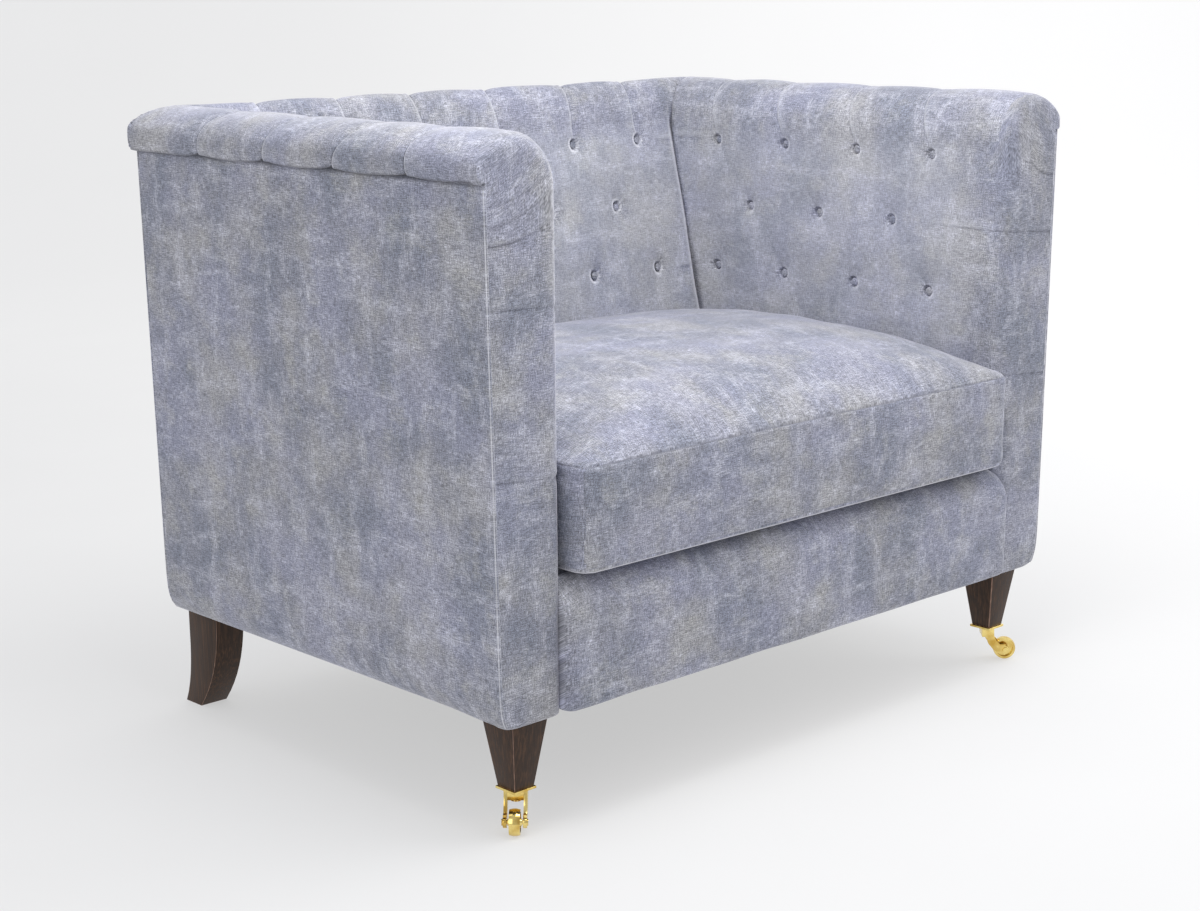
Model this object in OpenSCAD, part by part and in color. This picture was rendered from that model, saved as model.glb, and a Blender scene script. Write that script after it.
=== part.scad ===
// Snuggler chair: a one and a half seat upholstered armchair with buttoned arms and back,
// one loose seat cushion, tapered front legs on castors and swept rear legs.
// Millimetres. Z is up from the floor, X runs to the right and the front faces -Y.

/* [Body] */
// Width over the outer side panels at their lower edge
body_w = 1020; // [940:1:1160]
// Depth from the front of the arms to the outside back
body_d = 682; // [640:1:760]
// Height of the crest of the padded roll above the floor
body_h = 810; // [770:1:880]
// Height of the covering's lower edge above the floor
base_z = 142; // [130:1:160]
// Height of the crest above the seam under the roll, where the outer panels end
seam_drop = 53; // [45:1:75]
// How far each outer side panel leans out by the time it reaches the roll
panel_flare = 12; // [4:1:18]
// Thickness of an outer panel: board, felt and cover
panel_t = 4; // [3:0.5:6]
// Thickness of an arm at its lower edge
arm_t = 104; // [96:1:116]
// Thickness of the back at the top row of buttons
back_t = 51; // [46:1:60]
// Lean of the inner back from the vertical, in degrees
back_lean = 13.4; // [10:0.1:16]

/* [Padding] */
// How far the roll stands out past the outer panels
roll_overhang = 8; // [5:1:12]
// Height of the crest above the level where the inner face starts to turn over
shoulder_h = 65; // [58:1:80]
// Height of the crest above the widest level of the roll
outer_roll_h = 35; // [30:1:40]
// Radius of the padded corners at the front of the arms
front_round = 25; // [18:1:27]
// Share of the front rounding that also lowers the top of the roll there
top_round_share = 0.56; // [0.4:0.01:0.7]
// Thickness of the padding on the inside of an arm
arm_pad_t = 33; // [26:1:38]
// Thickness of the padding on the front of an arm
facing_pad_t = 28; // [27:1:34]
// Thickness of the padding on the inner back
back_pad_t = 28; // [24:1:30]
// Depth of a button below the crown of the padding
tuft_depth = 8; // [5:0.5:12]
// Reach of a button's dimple
tuft_reach = 22; // [16:1:30]
// Diameter of a covered button
button_d = 12; // [10:1:16]
// Height of a covered button's dome
button_h = 4; // [3:0.5:5]

/* [Seat] */
// How far the cushion stands out in front of the arms
cushion_overhang = 26; // [20:1:30]
// Height of the cushion's border between its two seams
cushion_border_h = 119; // [100:1:130]
// Height of the cushion's crown above its top seam
crown_h = 86; // [60:1:100]
// How far the cushion's sides draw in between its corners
draw_in = 4; // [2:1:6]
// How far the border bulges out past its seams
border_bulge = 3; // [2:0.5:5]
// Height of the lower seam above the deck
lower_seam_h = 9; // [6:1:12]
// Thickness of the sprung seat's deck pad
deck_t = 12; // [9:1:16]
// How far the padded front border stands out in front of the arms
border_overhang = 17; // [12:1:19]
// Height of the top of the padded front border above the seat rails
border_rise = 15; // [13:1:16]
// Number of serpentine springs under the seat
spring_count = 6; // [5:1:7]
// Wire diameter of a seat spring
spring_wire = 3.6; // [3:0.1:4]

/* [Timber frame] */
// Height of the top of the seat rails above the floor
rail_top = 285; // [270:1:290]
// Thickness of the seat rails
rail_t = 25; // [22:1:30]
// Depth of a front post
front_post_d = 45; // [40:1:55]
// Depth of a rear post
rear_post_d = 60; // [52:1:62]
// Thickness of the arm top rails
arm_rail_t = 36; // [30:1:42]
// Thickness of the facing board behind the front border
facing_board_t = 18; // [15:1:20]
// Height of the back's top rail
back_rail_h = 45; // [38:1:52]
// Thickness of the back's uprights
upright_t = 22; // [18:1:24]
// Height of the rail low down across the outside back
base_rail_h = 63; // [50:1:80]
// Length of a corner block's two short sides
corner_block = 60; // [45:1:75]

/* [Legs] */
// Distance of a front leg's axis inside the outer panel
front_leg_in = 57; // [50:1:62]
// Distance of a front leg's axis behind the front of the arm
front_leg_back = 41; // [38:1:48]
// Width of a front leg at its top
front_leg_top = 56; // [50:1:60]
// Width of a front leg at its foot
front_leg_foot = 30; // [28:1:32]
// Distance of a rear leg's outer face inside the outer panel
rear_leg_in = 32; // [26:1:38]
// Width of a rear leg at its top
rear_leg_w = 44; // [40:1:50]
// Width of a rear leg at its foot
rear_foot_w = 41; // [36:1:44]
// Depth of a rear leg at its top
rear_leg_d = 66; // [60:1:70]
// How far the back edge of a rear leg sweeps behind the body
foot_sweep = 18; // [12:1:26]
// How far the front edge of a rear leg sweeps back
foot_lead = 48; // [40:1:54]
// Diameter of the bolt that holds a leg
bolt_d = 8; // [6:1:10]

/* [Castors] */
// Diameter of a castor wheel
wheel_d = 32; // [28:1:36]
// Width of a castor wheel's tread
wheel_w = 13; // [10:1:13]
// Distance of the wheel's axle from the swivel axis
trail = 26; // [24:1:30]
// Height of the castor from the floor to the foot of the leg
castor_h = 51; // [50:1:56]
// Width of the square plate
plate_w = 34; // [33:1:38]
// Thickness of the square plate
plate_t = 3; // [2:0.5:4]
// Width of the horn over its two cheeks
horn_w = 28; // [27:1:30]
// Thickness of a cheek
cheek_t = 4.5; // [3:0.5:4.5]
// Diameter of the swivel stem
stem_d = 8; // [7:1:9]
// Diameter of the wheel's axle
axle_d = 5; // [4:0.5:6]
// Direction in which the right castor trails, in degrees from +X
castor_turn = -45; // [-180:5:180]

/* [Hidden] */

// Fineness of true circles, and of hidden wire
$fn = 48;

// Clearances: cloth beside cloth, a loose cushion beside its seat, and a running fit
gap = 0.3;
seat_gap = 1;
running = 0.05;
// One overrun serves every cut
over = 20;

// Colours of the finishes
velvet = "#9A9CAB";
beech = "#CDAE7E";
walnut = "#3F3029";
brass = "#C9A13A";
steel = "#8C8F94";
jute = "#B59B6C";
black_cloth = "#2B2B2E";

// Jute webbing behind the padding
webbing_t = 1.5;
webbing_w = 50;

// Places along X on the right-hand side
panel_x = body_w/2;
inner_x = panel_x - arm_t;
seam_x = panel_x + panel_flare;
roll_x = seam_x + roll_overhang;
crest_x = (inner_x + roll_x)/2;
post_x0 = inner_x + arm_pad_t + 2*gap + webbing_t;
post_x1 = panel_x - panel_t - gap;
front_leg_x = panel_x - front_leg_in;
rear_leg_x = panel_x - rear_leg_in - rear_leg_w/2;

// Levels
shoulder_z = body_h - shoulder_h;
widest_z = body_h - outer_roll_h;
seam_z = body_h - seam_drop;
cover_z = base_z + gap;
clip_t = 1.2;
pad_foot_share = 0.9;
deck_z = rail_top + spring_wire + clip_t + gap;
deck_top = deck_z + deck_t;
pad_foot_z = rail_top + (deck_z - rail_top)*pad_foot_share;
border_top = rail_top + border_rise;
lower_seam_z = deck_top + lower_seam_h;
upper_seam_z = lower_seam_z + cushion_border_h;
post_top = seam_z - gap - arm_rail_t - gap/3;
plate_z = castor_h - plate_t;

// Rows and columns of buttons, as shares of the padded faces that they divide
first_row_share = 0.05;
row_share = 0.2167;
first_column_share = 0.169;
arm_column_share = 0.2226;
back_column_share = 0.165;
face_h = shoulder_z - deck_top;
top_row_z = shoulder_z - face_h*first_row_share;
row_h = face_h*row_share;
row_count = 3;
arm_column_count = 4;
back_column_count = 6;

// Depths, measured from the front of the arms towards the back
back_slope = tan(back_lean);
function back_y(z) = body_d - back_t - back_slope*(top_row_z - z);
shoulder_y = back_y(shoulder_z);
back_roll_y = body_d + roll_overhang;
back_crest_y = (shoulder_y + back_roll_y)/2;
back_panel_y = body_d - panel_t;
face_d = shoulder_y - front_round;
column_d = face_d*arm_column_share;
first_column_y = front_round + face_d*first_column_share;
column_w = 2*inner_x*back_column_share;
rail_y0 = facing_pad_t + gap;
rail_y1 = rail_y0 + rail_t;
post_y1 = rail_y0 + front_post_d;
rear_post_y1 = back_panel_y - gap;
rear_post_y0 = rear_post_y1 - rear_post_d;
upright_in = back_pad_t + 2*gap + webbing_t;
rear_rail_y0 = back_y(rail_top) + upright_in;
rear_rail_y1 = rear_rail_y0 + rail_t;
rail_drop_share = 0.18;
back_rail_top = top_row_z - row_h*rail_drop_share;
back_rail_y0 = back_y(back_rail_top) + back_pad_t + gap;
facing_board_y0 = rail_y0 - facing_board_t;

// The model's origin lies on the floor, midway between the cushion's front and the rear feet
front_y = (cushion_overhang - body_d - foot_sweep)/2;

module in_place() translate([0, front_y, 0]) children();
module on_left() mirror([1, 0, 0]) children();
module box_between(low, high) translate(low) cube(high - low);

// A prism along X from an outline in Y and Z, and one along Y from an outline in X and Z
module prism_x(x0, x1, outline)
    translate([x0, 0, 0]) rotate([90, 0, 90]) linear_extrude(x1 - x0) polygon(outline);
module prism_y(y0, y1, outline)
    translate([0, y1, 0]) rotate([90, 0, 0]) linear_extrude(y1 - y0) polygon(outline);

function arc(centre, r, from, to, steps) =
    [for (i = [0:steps]) let (a = from + (to - from)*i/steps) centre + r*[cos(a), sin(a)]];

// A closed skin over rings of points, with a fan of triangles over each end
function flatten(list) = [for (part = list) for (item = part) item];
function skin_faces(m, n) = concat(
    [for (r = [0:m - 2], i = [0:n - 1], half = [0, 1])
        let (a = r*n + i, b = r*n + (i + 1)%n)
        half == 0 ? [a, b + n, b] : [a, a + n, b + n]],
    [for (i = [0:n - 1]) [m*n, i, (i + 1)%n]],
    [for (i = [0:n - 1]) [m*n + 1, (m - 1)*n + (i + 1)%n, (m - 1)*n + i]]);
module skin(rings, first_centre, last_centre)
    polyhedron(concat(flatten(rings), [first_centre, last_centre]), skin_faces(len(rings), len(rings[0])));

// Where the buttons sit: rows from the top down, with every second row one button short
function spots(count, pitch, first) =
    [for (r = [0:row_count - 1], c = [0:count - 1 - r%2]) [first + (c + r%2/2)*pitch, top_row_z - r*row_h]];
arm_spots = spots(arm_column_count, column_d, first_column_y);
back_spots = spots(back_column_count, column_w, -(back_column_count - 1)*column_w/2);
function tuft(p, list) = tuft_depth*max([for (q = list) exp(-pow(norm(p - q)/tuft_reach, 2))]);

// Levels at which the padded faces have points: four to a row of buttons, and three below
row_step_count = 4;
column_step_count = 6;
lowest_step_count = 10;
foot_level_count = 3;
lowest_row_z = top_row_z - row_h*lowest_step_count/row_step_count;
face_levels = concat(
    [for (i = [0:foot_level_count - 1]) pad_foot_z + (lowest_row_z - pad_foot_z)*i/foot_level_count],
    [for (i = [lowest_step_count:-1:0]) top_row_z - row_h*i/row_step_count]);

// The roll as angles: over the inner shoulder to the crest, down the outside, and the tuck
shoulder_angles = [0:18:90];
outer_angles = [22.5:22.5:90];
tuck_angles = [45, 90];

// The roll's section for a given inner face, crest, widest place and seam
function roll_section(inner, crest, widest, seam, lower) = concat(
    [for (a = shoulder_angles) [crest - (crest - inner)*cos(a), shoulder_z + (shoulder_h - lower)*sin(a)]],
    [for (a = outer_angles) [crest + (widest - crest)*sin(a), widest_z + (outer_roll_h - lower)*cos(a)]],
    [for (a = tuck_angles) [seam + (widest - seam)*cos(a), widest_z - (widest_z - seam_z)*sin(a)]]);

// Right arm padding: one block over the front, the inner face and the roll, hollowed for the frame
function arm_section(inset) = concat(
    [[inner_x + inset, cover_z]],
    [for (z = face_levels) [inner_x + inset, z]],
    roll_section(inner_x + inset, crest_x, roll_x, seam_x, inset*top_round_share),
    [[seam_x - panel_t, seam_z], [panel_x - panel_t - gap, cover_z]]);
function arm_dent(y, p) = p[0] > inner_x ? 0 : tuft([y, p[1]], arm_spots);
function arm_ring(y, inset) = [for (p = arm_section(inset)) [p[0] + arm_dent(y, p), y, p[1]]];
function mitre_depths() = concat(
    [for (i = [0:len(face_levels)]) shoulder_y],
    [for (p = roll_section(shoulder_y, back_crest_y, back_roll_y, body_d, 0)) p[0]],
    [back_panel_y, back_panel_y]);
arm_mitre = [for (i = [0:len(arm_section(0)) - 1]) let (p = arm_section(0)[i]) [p[0], mitre_depths()[i], p[1]]];
front_angles = [0:30:90];
front_step_count = 4;
arm_step_count = 20;
arm_rings = concat(
    [for (a = front_angles) arm_ring(front_round*(1 - cos(a)), front_round*(1 - sin(a)))],
    [for (i = [-front_step_count:arm_step_count]) arm_ring(first_column_y + i*column_d/column_step_count, 0)],
    [(arm_ring(first_column_y + arm_step_count*column_d/column_step_count, 0) + arm_mitre)/2],
    [arm_mitre]);
module arm_pad() color(velvet) in_place() difference() {
    skin(arm_rings, [crest_x, 0, seam_z + gap], [crest_x, back_crest_y, seam_z + gap]);
    prism_y(facing_pad_t, body_d + over, [
        [inner_x - over, cover_z - over],
        [inner_x - over, pad_foot_z],
        [inner_x + arm_pad_t, pad_foot_z],
        [inner_x + arm_pad_t, seam_z - gap/3],
        [roll_x + over, seam_z - gap/3],
        [roll_x + over, cover_z - over]
    ]);
}
module right_arm_pad() arm_pad();
module left_arm_pad() on_left() arm_pad();

// Inner back padding between the arms, mitred into their rolls at both ends
function back_section(x) = concat(
    [for (z = face_levels) [x, back_y(z) + tuft([x, z], back_spots), z]],
    [for (p = roll_section(shoulder_y, back_crest_y, back_roll_y, body_d, 0)) [x, p[0], p[1]]],
    [[x, back_panel_y - gap, seam_z], [x, back_panel_y - gap, pad_foot_z]]);
back_side = inner_x - gap;
arm_roll = roll_section(inner_x, crest_x, roll_x, seam_x, 0);
function back_end(side) = [for (i = [0:len(back_section(0)) - 1])
    let (p = back_section(side*back_side)[i], k = i - len(face_levels))
    k < 0 || k >= len(arm_roll) ? p : [side*(arm_roll[k][0] - gap), p[1], p[2]]];
back_step_count = 17;
back_rings = concat(
    [back_end(1)],
    [for (i = [back_step_count:-1:-back_step_count]) back_section(i*column_w/column_step_count)],
    [back_end(-1)]);
module inner_back_pad() color(velvet) in_place() difference() {
    skin(back_rings, [crest_x - gap, back_crest_y, seam_z + gap], [gap - crest_x, back_crest_y, seam_z + gap]);
    prism_x(-roll_x, roll_x, [
        [back_y(pad_foot_z - over) + back_pad_t, pad_foot_z - over],
        [back_y(back_rail_top + gap) + back_pad_t, back_rail_top + gap],
        [body_d + over, back_rail_top + gap],
        [body_d + over, pad_foot_z - over]
    ]);
    for (side = [-1, 1]) translate([side*(back_side + panel_x), 0, 0])
        box_between([-panel_x, 0, pad_foot_z - over], [panel_x, body_d + over, seam_z - gap/3]);
}

// Covered buttons: shallow domes that sit in the dimples
module button() {
    dome_r = (pow(button_d/2, 2) + pow(button_h, 2))/(2*button_h);
    difference() {
        translate([0, 0, button_h - dome_r]) sphere(dome_r);
        translate([0, 0, -dome_r]) cube([2*dome_r, 2*dome_r, 2*dome_r], center = true);
    }
}
button_rest = 3;
module arm_buttons() color(velvet) in_place() for (p = arm_spots)
    translate([inner_x + tuft_depth - button_rest, p[0], p[1]]) rotate([0, -90, 0]) button();
module right_arm_buttons() arm_buttons();
module left_arm_buttons() on_left() arm_buttons();
module back_buttons() color(velvet) in_place()
    for (p = back_spots) translate([p[0], back_y(p[1]) + tuft_depth - button_rest, p[1]])
        rotate([90 - back_lean, 0, 0]) button();

// Outer panels
module outside_panel() color(velvet) in_place() prism_y(0, back_panel_y, [
    [panel_x - panel_t, cover_z],
    [panel_x, cover_z],
    [seam_x, seam_z - gap],
    [seam_x - panel_t, seam_z - gap]
]);
module right_outside_panel() outside_panel();
module left_outside_panel() on_left() outside_panel();
module outside_back_panel() color(velvet) in_place() prism_y(back_panel_y, body_d, [
    [-panel_x, cover_z],
    [panel_x, cover_z],
    [seam_x, seam_z - gap],
    [-seam_x, seam_z - gap]
]);

// Padded front border under the cushion: a bull nose in front of the seat rail, its ends lapping the arms
border_roll_share = 0.98;
border_edge_r = (border_overhang + facing_pad_t)*border_roll_share;
border_foot_r = 10;
border_corner_r = 12;
border_side_gap = 10;
border_x = inner_x + border_side_gap;
border_step_count = 8;
function border_turn(r, z, from) = arc([r - border_overhang, z], r, from, from - 90, border_step_count);
function border_section() = concat(
    border_turn(border_foot_r, cover_z + border_foot_r, 270),
    border_turn(border_edge_r, border_top - border_edge_r, 180),
    [
        [facing_pad_t, border_top],
        [facing_pad_t, rail_top + gap],
        [facing_board_y0 - gap, rail_top + gap],
        [facing_board_y0 - gap, cover_z]
    ]);
function border_corner(x, from) =
    arc([x, border_top - border_corner_r], border_corner_r, from, from + 90, border_step_count);
module front_border() color(velvet) in_place() {
    prism_x(gap - inner_x, inner_x - gap, border_section());
    intersection() {
        prism_x(-border_x, border_x, border_section());
        prism_y(-border_overhang - over, gap, concat(
            [[border_x, cover_z]],
            border_corner(border_x - border_corner_r, 0),
            border_corner(border_corner_r - border_x, 90),
            [[-border_x, cover_z]]));
    }
}

// Loose seat cushion: a crowned top, a bulging border between two seams and a flat underside
side_point_count = 12;
corner_power = 24;
crown_power = 3;
cushion_x = inner_x - seat_gap;
cushion_foot_share = 0.93;
crown_shares = [0.97, 0.93, 0.87, 0.79, 0.69, 0.57, 0.43, 0.28, 0.13];
function on_square(i) =
    let (side = floor(i/side_point_count), u = 2*(i%side_point_count)/side_point_count - 1)
    side == 0 ? [u, -1] : side == 1 ? [1, u] : side == 2 ? [-u, 1] : [-1, -u];
function rounded(p) = p/pow(pow(abs(p[0]), corner_power) + pow(abs(p[1]), corner_power), 1/corner_power);
function cushion_ring(z, inset, share, height) = [for (i = [0:4*side_point_count - 1])
    let (
        s = rounded(on_square(i)),
        rear = back_y(z) - seat_gap - inset,
        front = inset - cushion_overhang,
        middle = (rear + front)/2,
        half_x = cushion_x - inset - draw_in*(1 - pow(s[1], 2)),
        half_y = (rear - front)/2 - draw_in*(1 - pow(s[0], 2)),
        u = share*s[0],
        v = share*s[1]
    )
    [half_x*u, middle + half_y*v, z + height*(1 - pow(abs(u), crown_power))*(1 - pow(abs(v), crown_power))]];
cushion_foot_z = deck_top + gap;
side_step_count = 4;
cushion_rings = concat(
    [cushion_ring(cushion_foot_z, border_bulge, cushion_foot_share, 0)],
    [cushion_ring(lower_seam_z, border_bulge, 1, 0)],
    [for (i = [1:side_step_count - 1]) let (share = i/side_step_count)
        cushion_ring(lower_seam_z + cushion_border_h*share, border_bulge*(1 - sin(180*share)), 1, 0)],
    [cushion_ring(upper_seam_z, border_bulge, 1, 0)],
    [for (s = crown_shares) cushion_ring(upper_seam_z, border_bulge, s, crown_h)]);
module seat_cushion() color(velvet) in_place() skin(
    cushion_rings,
    [0, (back_y(cushion_foot_z) - cushion_overhang)/2, cushion_foot_z],
    [0, (back_y(upper_seam_z) - cushion_overhang)/2, upper_seam_z + crown_h]);

// Sprung seat: serpentine wires in clips on the rails, and a deck pad over them
spring_wave_count = 8;
wave_point_count = 8;
wire_side_count = 6;
spring_sweep = 22;
spring_edge_share = 0.1;
spring_pitch = 2*(inner_x - spring_sweep)/(spring_count - spring_edge_share);
spring_in = 4;
spring_lead = 14;
spring_y0 = rail_y0 + spring_in + spring_lead;
spring_y1 = rear_rail_y1 - spring_in - spring_lead;
spring_step_count = spring_wave_count*wave_point_count;
function spring_wave(i) = [
    spring_sweep*cos(360*i/wave_point_count),
    spring_y0 + (spring_y1 - spring_y0)*i/spring_step_count,
    rail_top + spring_wire/2 + clip_t*sin(180*i/spring_step_count)];
function spring_point(i) =
    i < 0 ? spring_wave(0) - [0, spring_lead, 0] :
    i > spring_step_count ? spring_wave(spring_step_count) + [0, spring_lead, 0] : spring_wave(i);
function spring_ring(i) =
    let (
        along = spring_point(min(i + 1, spring_step_count + 1)) - spring_point(max(i - 1, -1)),
        side = cross([0, 0, 1], along)/norm(cross([0, 0, 1], along)),
        up = cross(along, side)/norm(along)
    )
    [for (k = [0:wire_side_count - 1])
        let (a = 360*k/wire_side_count)
        spring_point(i) + spring_wire/2*(side*cos(a) + up*sin(a))];
spring_places = [for (i = [0:spring_count - 1]) (i - (spring_count - 1)/2)*spring_pitch];
module seat_springs() color(steel) in_place() for (x = spring_places) translate([x, 0, 0])
    skin(
        [for (i = [-1:spring_step_count + 1]) spring_ring(i)],
        spring_point(-1),
        spring_point(spring_step_count + 1));

clip_w = 14;
clip_d = 12;
module spring_clip() difference() {
    translate([-clip_w/2, -clip_d/2, 0]) cube([clip_w, clip_d, spring_wire + clip_t]);
    translate([-spring_wire, -clip_d, -over]) cube([2*spring_wire, 2*clip_d, over + spring_wire + running]);
}
module spring_clips() color(steel) in_place()
for (x = spring_places) translate([x + spring_sweep, 0, rail_top]) {
    translate([0, spring_y0 - spring_lead/2, 0]) spring_clip();
    translate([0, spring_y1 + spring_lead/2, 0]) spring_clip();
}

module seat_deck() color(jute) in_place()
    box_between([gap - inner_x, rail_y0, deck_z], [inner_x - gap, back_y(deck_z) - gap, deck_top]);

// Jute webbing behind the padding of the back and of the arms
back_strip_count = 4;
arm_strip_count = 3;
module back_webbing() color(jute) in_place() for (i = [0:back_strip_count - 1]) {
    z0 = deck_top + (back_rail_top - back_rail_h - deck_top)*(i + 1/2)/back_strip_count - webbing_w/2;
    z1 = z0 + webbing_w;
    prism_x(gap - inner_x, inner_x - gap, [
        [back_y(z0) + back_pad_t + gap, z0],
        [back_y(z0) + back_pad_t + gap + webbing_t, z0],
        [back_y(z1) + back_pad_t + gap + webbing_t, z1],
        [back_y(z1) + back_pad_t + gap, z1]
    ]);
}
module arm_webbing() color(jute) in_place() for (i = [1:arm_strip_count]) {
    z = tack_top + (post_top - tack_top)*i/(arm_strip_count + 1);
    x = post_x0 - gap - webbing_t;
    box_between([x, rail_y0 + gap, z - webbing_w/2], [x + webbing_t, shoulder_y, z + webbing_w/2]);
}
module right_arm_webbing() arm_webbing();
module left_arm_webbing() on_left() arm_webbing();

// Timber frame
tack_rail_h = 30;
tack_rail_t = 22;
// The tack rail's lower edge stands half a low rail's height above the deck
tack_top = deck_top + tack_rail_h + base_rail_h/2;
module front_rail() color(beech) in_place()
    box_between([-post_x0, rail_y0, base_z], [post_x0, rail_y1, rail_top]);
module front_facing_board() color(beech) in_place()
    box_between([gap - inner_x, facing_board_y0, base_z], [inner_x - gap, rail_y0, rail_top]);
module rear_seat_rail() color(beech) in_place()
    box_between([-post_x0, rear_rail_y0, base_z], [post_x0, rear_rail_y1, rail_top]);
module base_back_rail() color(beech) in_place()
    box_between([-post_x0, rear_post_y1 - rail_t, base_z], [post_x0, rear_post_y1, base_z + base_rail_h]);
module side_rail() color(beech) in_place()
    box_between([post_x0, post_y1, base_z], [post_x0 + rail_t, rear_post_y0, rail_top]);
module right_side_rail() side_rail();
module left_side_rail() on_left() side_rail();

bolt_rise = 38;
bolt_sink = 32;
module bolt_hole(x, y) translate([x, y, base_z - bolt_sink])
    cylinder(d = bolt_d + 2*running, h = bolt_rise + bolt_sink);
module front_post() color(beech) in_place() difference() {
    box_between([post_x0, rail_y0, base_z], [post_x1, post_y1, post_top]);
    bolt_hole(front_bolt_x, front_leg_back + bolt_back);
}
bolt_back = 8;
front_bolt_x = front_leg_x + bolt_back;
module right_front_post() front_post();
module left_front_post() on_left() front_post();
rear_bolt_y = body_d - rear_leg_d/2;
module rear_post() color(beech) in_place() difference() {
    box_between([post_x0, rear_post_y0, base_z], [post_x1, rear_post_y1, post_top]);
    bolt_hole(rear_leg_x + bolt_back/2, rear_bolt_y);
}
module right_rear_post() rear_post();
module left_rear_post() on_left() rear_post();

rail_out_x = seam_x - panel_t - panel_flare*(seam_z - post_top)/(seam_z - base_z) - gap;
module arm_top_rail() color(beech) in_place()
    box_between([post_x0, rail_y0, post_top], [rail_out_x, rear_post_y1, post_top + arm_rail_t]);
module right_arm_top_rail() arm_top_rail();
module left_arm_top_rail() on_left() arm_top_rail();
module arm_tack_rail() color(beech) in_place()
    box_between([post_x0, post_y1, tack_top - tack_rail_h], [post_x0 + tack_rail_t, rear_post_y0, tack_top]);
module right_arm_tack_rail() arm_tack_rail();
module left_arm_tack_rail() on_left() arm_tack_rail();

module back_top_rail() color(beech) in_place()
    box_between([-post_x0, back_rail_y0, back_rail_top - back_rail_h], [post_x0, rear_post_y1, back_rail_top]);
upright_w = inner_x - spring_places[spring_count - 1] - spring_sweep - clip_w/2 - seat_gap;
module back_uprights() color(beech) in_place() for (x = [-1, 0, 1]*(inner_x - upright_w/2)) {
    z1 = back_rail_top - back_rail_h;
    prism_x(x - upright_w/2, x + upright_w/2, [
        [back_y(rail_top) + upright_in, rail_top],
        [back_y(rail_top) + upright_in + upright_t, rail_top],
        [back_y(z1) + upright_in + upright_t, z1],
        [back_y(z1) + upright_in, z1]
    ]);
}
module corner_block_at(x, y, turn) translate([x, y, base_z]) rotate([0, 0, turn])
    linear_extrude(corner_block) polygon([[0, 0], [corner_block, 0], [0, corner_block]]);
module corner_blocks() color(beech) in_place() for (side = [0, 1]) mirror([side, 0, 0]) {
    corner_block_at(post_x0, rail_y1, 90);
    corner_block_at(post_x0, rear_rail_y0, 180);
}

// Black cloth tacked under the frame, cut out round the legs
cloth_t = 1.2;
cloth_cut = 1;
module dust_cover() color(black_cloth) in_place() difference() {
    box_between([-post_x1, rail_y0, base_z - cloth_t], [post_x1, rear_post_y1, base_z]);
    for (side = [-1, 1]) {
        translate([side*front_leg_x, front_leg_back, base_z - over])
            translate([-front_leg_top/2 - cloth_cut, -front_leg_top/2 - cloth_cut, 0])
                cube([front_leg_top + 2*cloth_cut, front_leg_top + 2*cloth_cut, 2*over]);
        translate([side*rear_leg_x - rear_leg_w/2 - cloth_cut, body_d - rear_leg_d - cloth_cut, base_z - over])
            cube([rear_leg_w + 2*cloth_cut, rear_leg_d + 2*cloth_cut, 2*over]);
    }
}

// Tapered front legs, bored for the castor's stem and the leg bolt
stem_rise = 26;
module taper(foot, top, foot_z) rotate([90, 0, 0]) linear_extrude(2*top, center = true)
    polygon([[-foot/2, foot_z], [foot/2, foot_z], [top/2, base_z], [-top/2, base_z]]);
module front_leg() color(walnut) in_place() difference() {
    translate([front_leg_x, front_leg_back, 0]) intersection() {
        taper(front_leg_foot, front_leg_top, castor_h);
        rotate([0, 0, 90]) taper(front_leg_foot, front_leg_top, castor_h);
    }
    translate([front_leg_x, front_leg_back, castor_h - over]) cylinder(d = stem_d, h = stem_rise + over);
    bolt_hole(front_bolt_x, front_leg_back + bolt_back);
}
module right_front_leg() front_leg();
module left_front_leg() on_left() front_leg();

// Rear legs swept backwards in a curve that starts upright under the rail
sweep_step_count = 10;
lead_power = 2.5;
sweep_power = 4;
function lead(t) = [body_d - rear_leg_d + foot_lead*pow(t, lead_power), base_z*(1 - t)];
function heel(t) = [body_d + foot_sweep*pow(t, sweep_power), base_z*(1 - t)];
module rear_leg() color(walnut) in_place() difference() {
    intersection() {
        prism_x(rear_leg_x - rear_leg_w, rear_leg_x + rear_leg_w, concat(
            [for (i = [0:sweep_step_count]) lead(i/sweep_step_count)],
            [for (i = [sweep_step_count:-1:0]) heel(i/sweep_step_count)]));
        prism_y(body_d - 2*rear_leg_d, body_d + rear_leg_d, [
            [rear_leg_x - rear_foot_w/2, 0],
            [rear_leg_x + rear_foot_w/2, 0],
            [rear_leg_x + rear_leg_w/2, base_z],
            [rear_leg_x - rear_leg_w/2, base_z]
        ]);
    }
    bolt_hole(rear_leg_x + bolt_back/2, rear_bolt_y);
}
module right_rear_leg() rear_leg();
module left_rear_leg() on_left() rear_leg();

module leg_bolt(x, y) translate([x, y, base_z - bolt_sink + seat_gap])
    cylinder(d = bolt_d, h = bolt_rise + bolt_sink - 2*seat_gap);
module leg_bolts() color(steel) in_place() for (side = [0, 1]) mirror([side, 0, 0]) {
    leg_bolt(front_bolt_x, front_leg_back + bolt_back);
    leg_bolt(rear_leg_x + bolt_back/2, rear_bolt_y);
}

// Castors, drawn round the swivel axis with the wheel trailing along +X, then turned and placed
wheel_r = wheel_d/2;
bridge_h = 12;
bridge_d = 16;
bridge_top = plate_z - gap;
bridge_z = bridge_top - bridge_h;
rivet_d = 13;
rivet_h = 2;
rivet_z = bridge_z - gap - rivet_h;
cheek_in = horn_w/2 - cheek_t;
eye_r = 6;
module castor_place() in_place() translate([front_leg_x, front_leg_back, 0])
    rotate([0, 0, castor_turn]) children();

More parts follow.
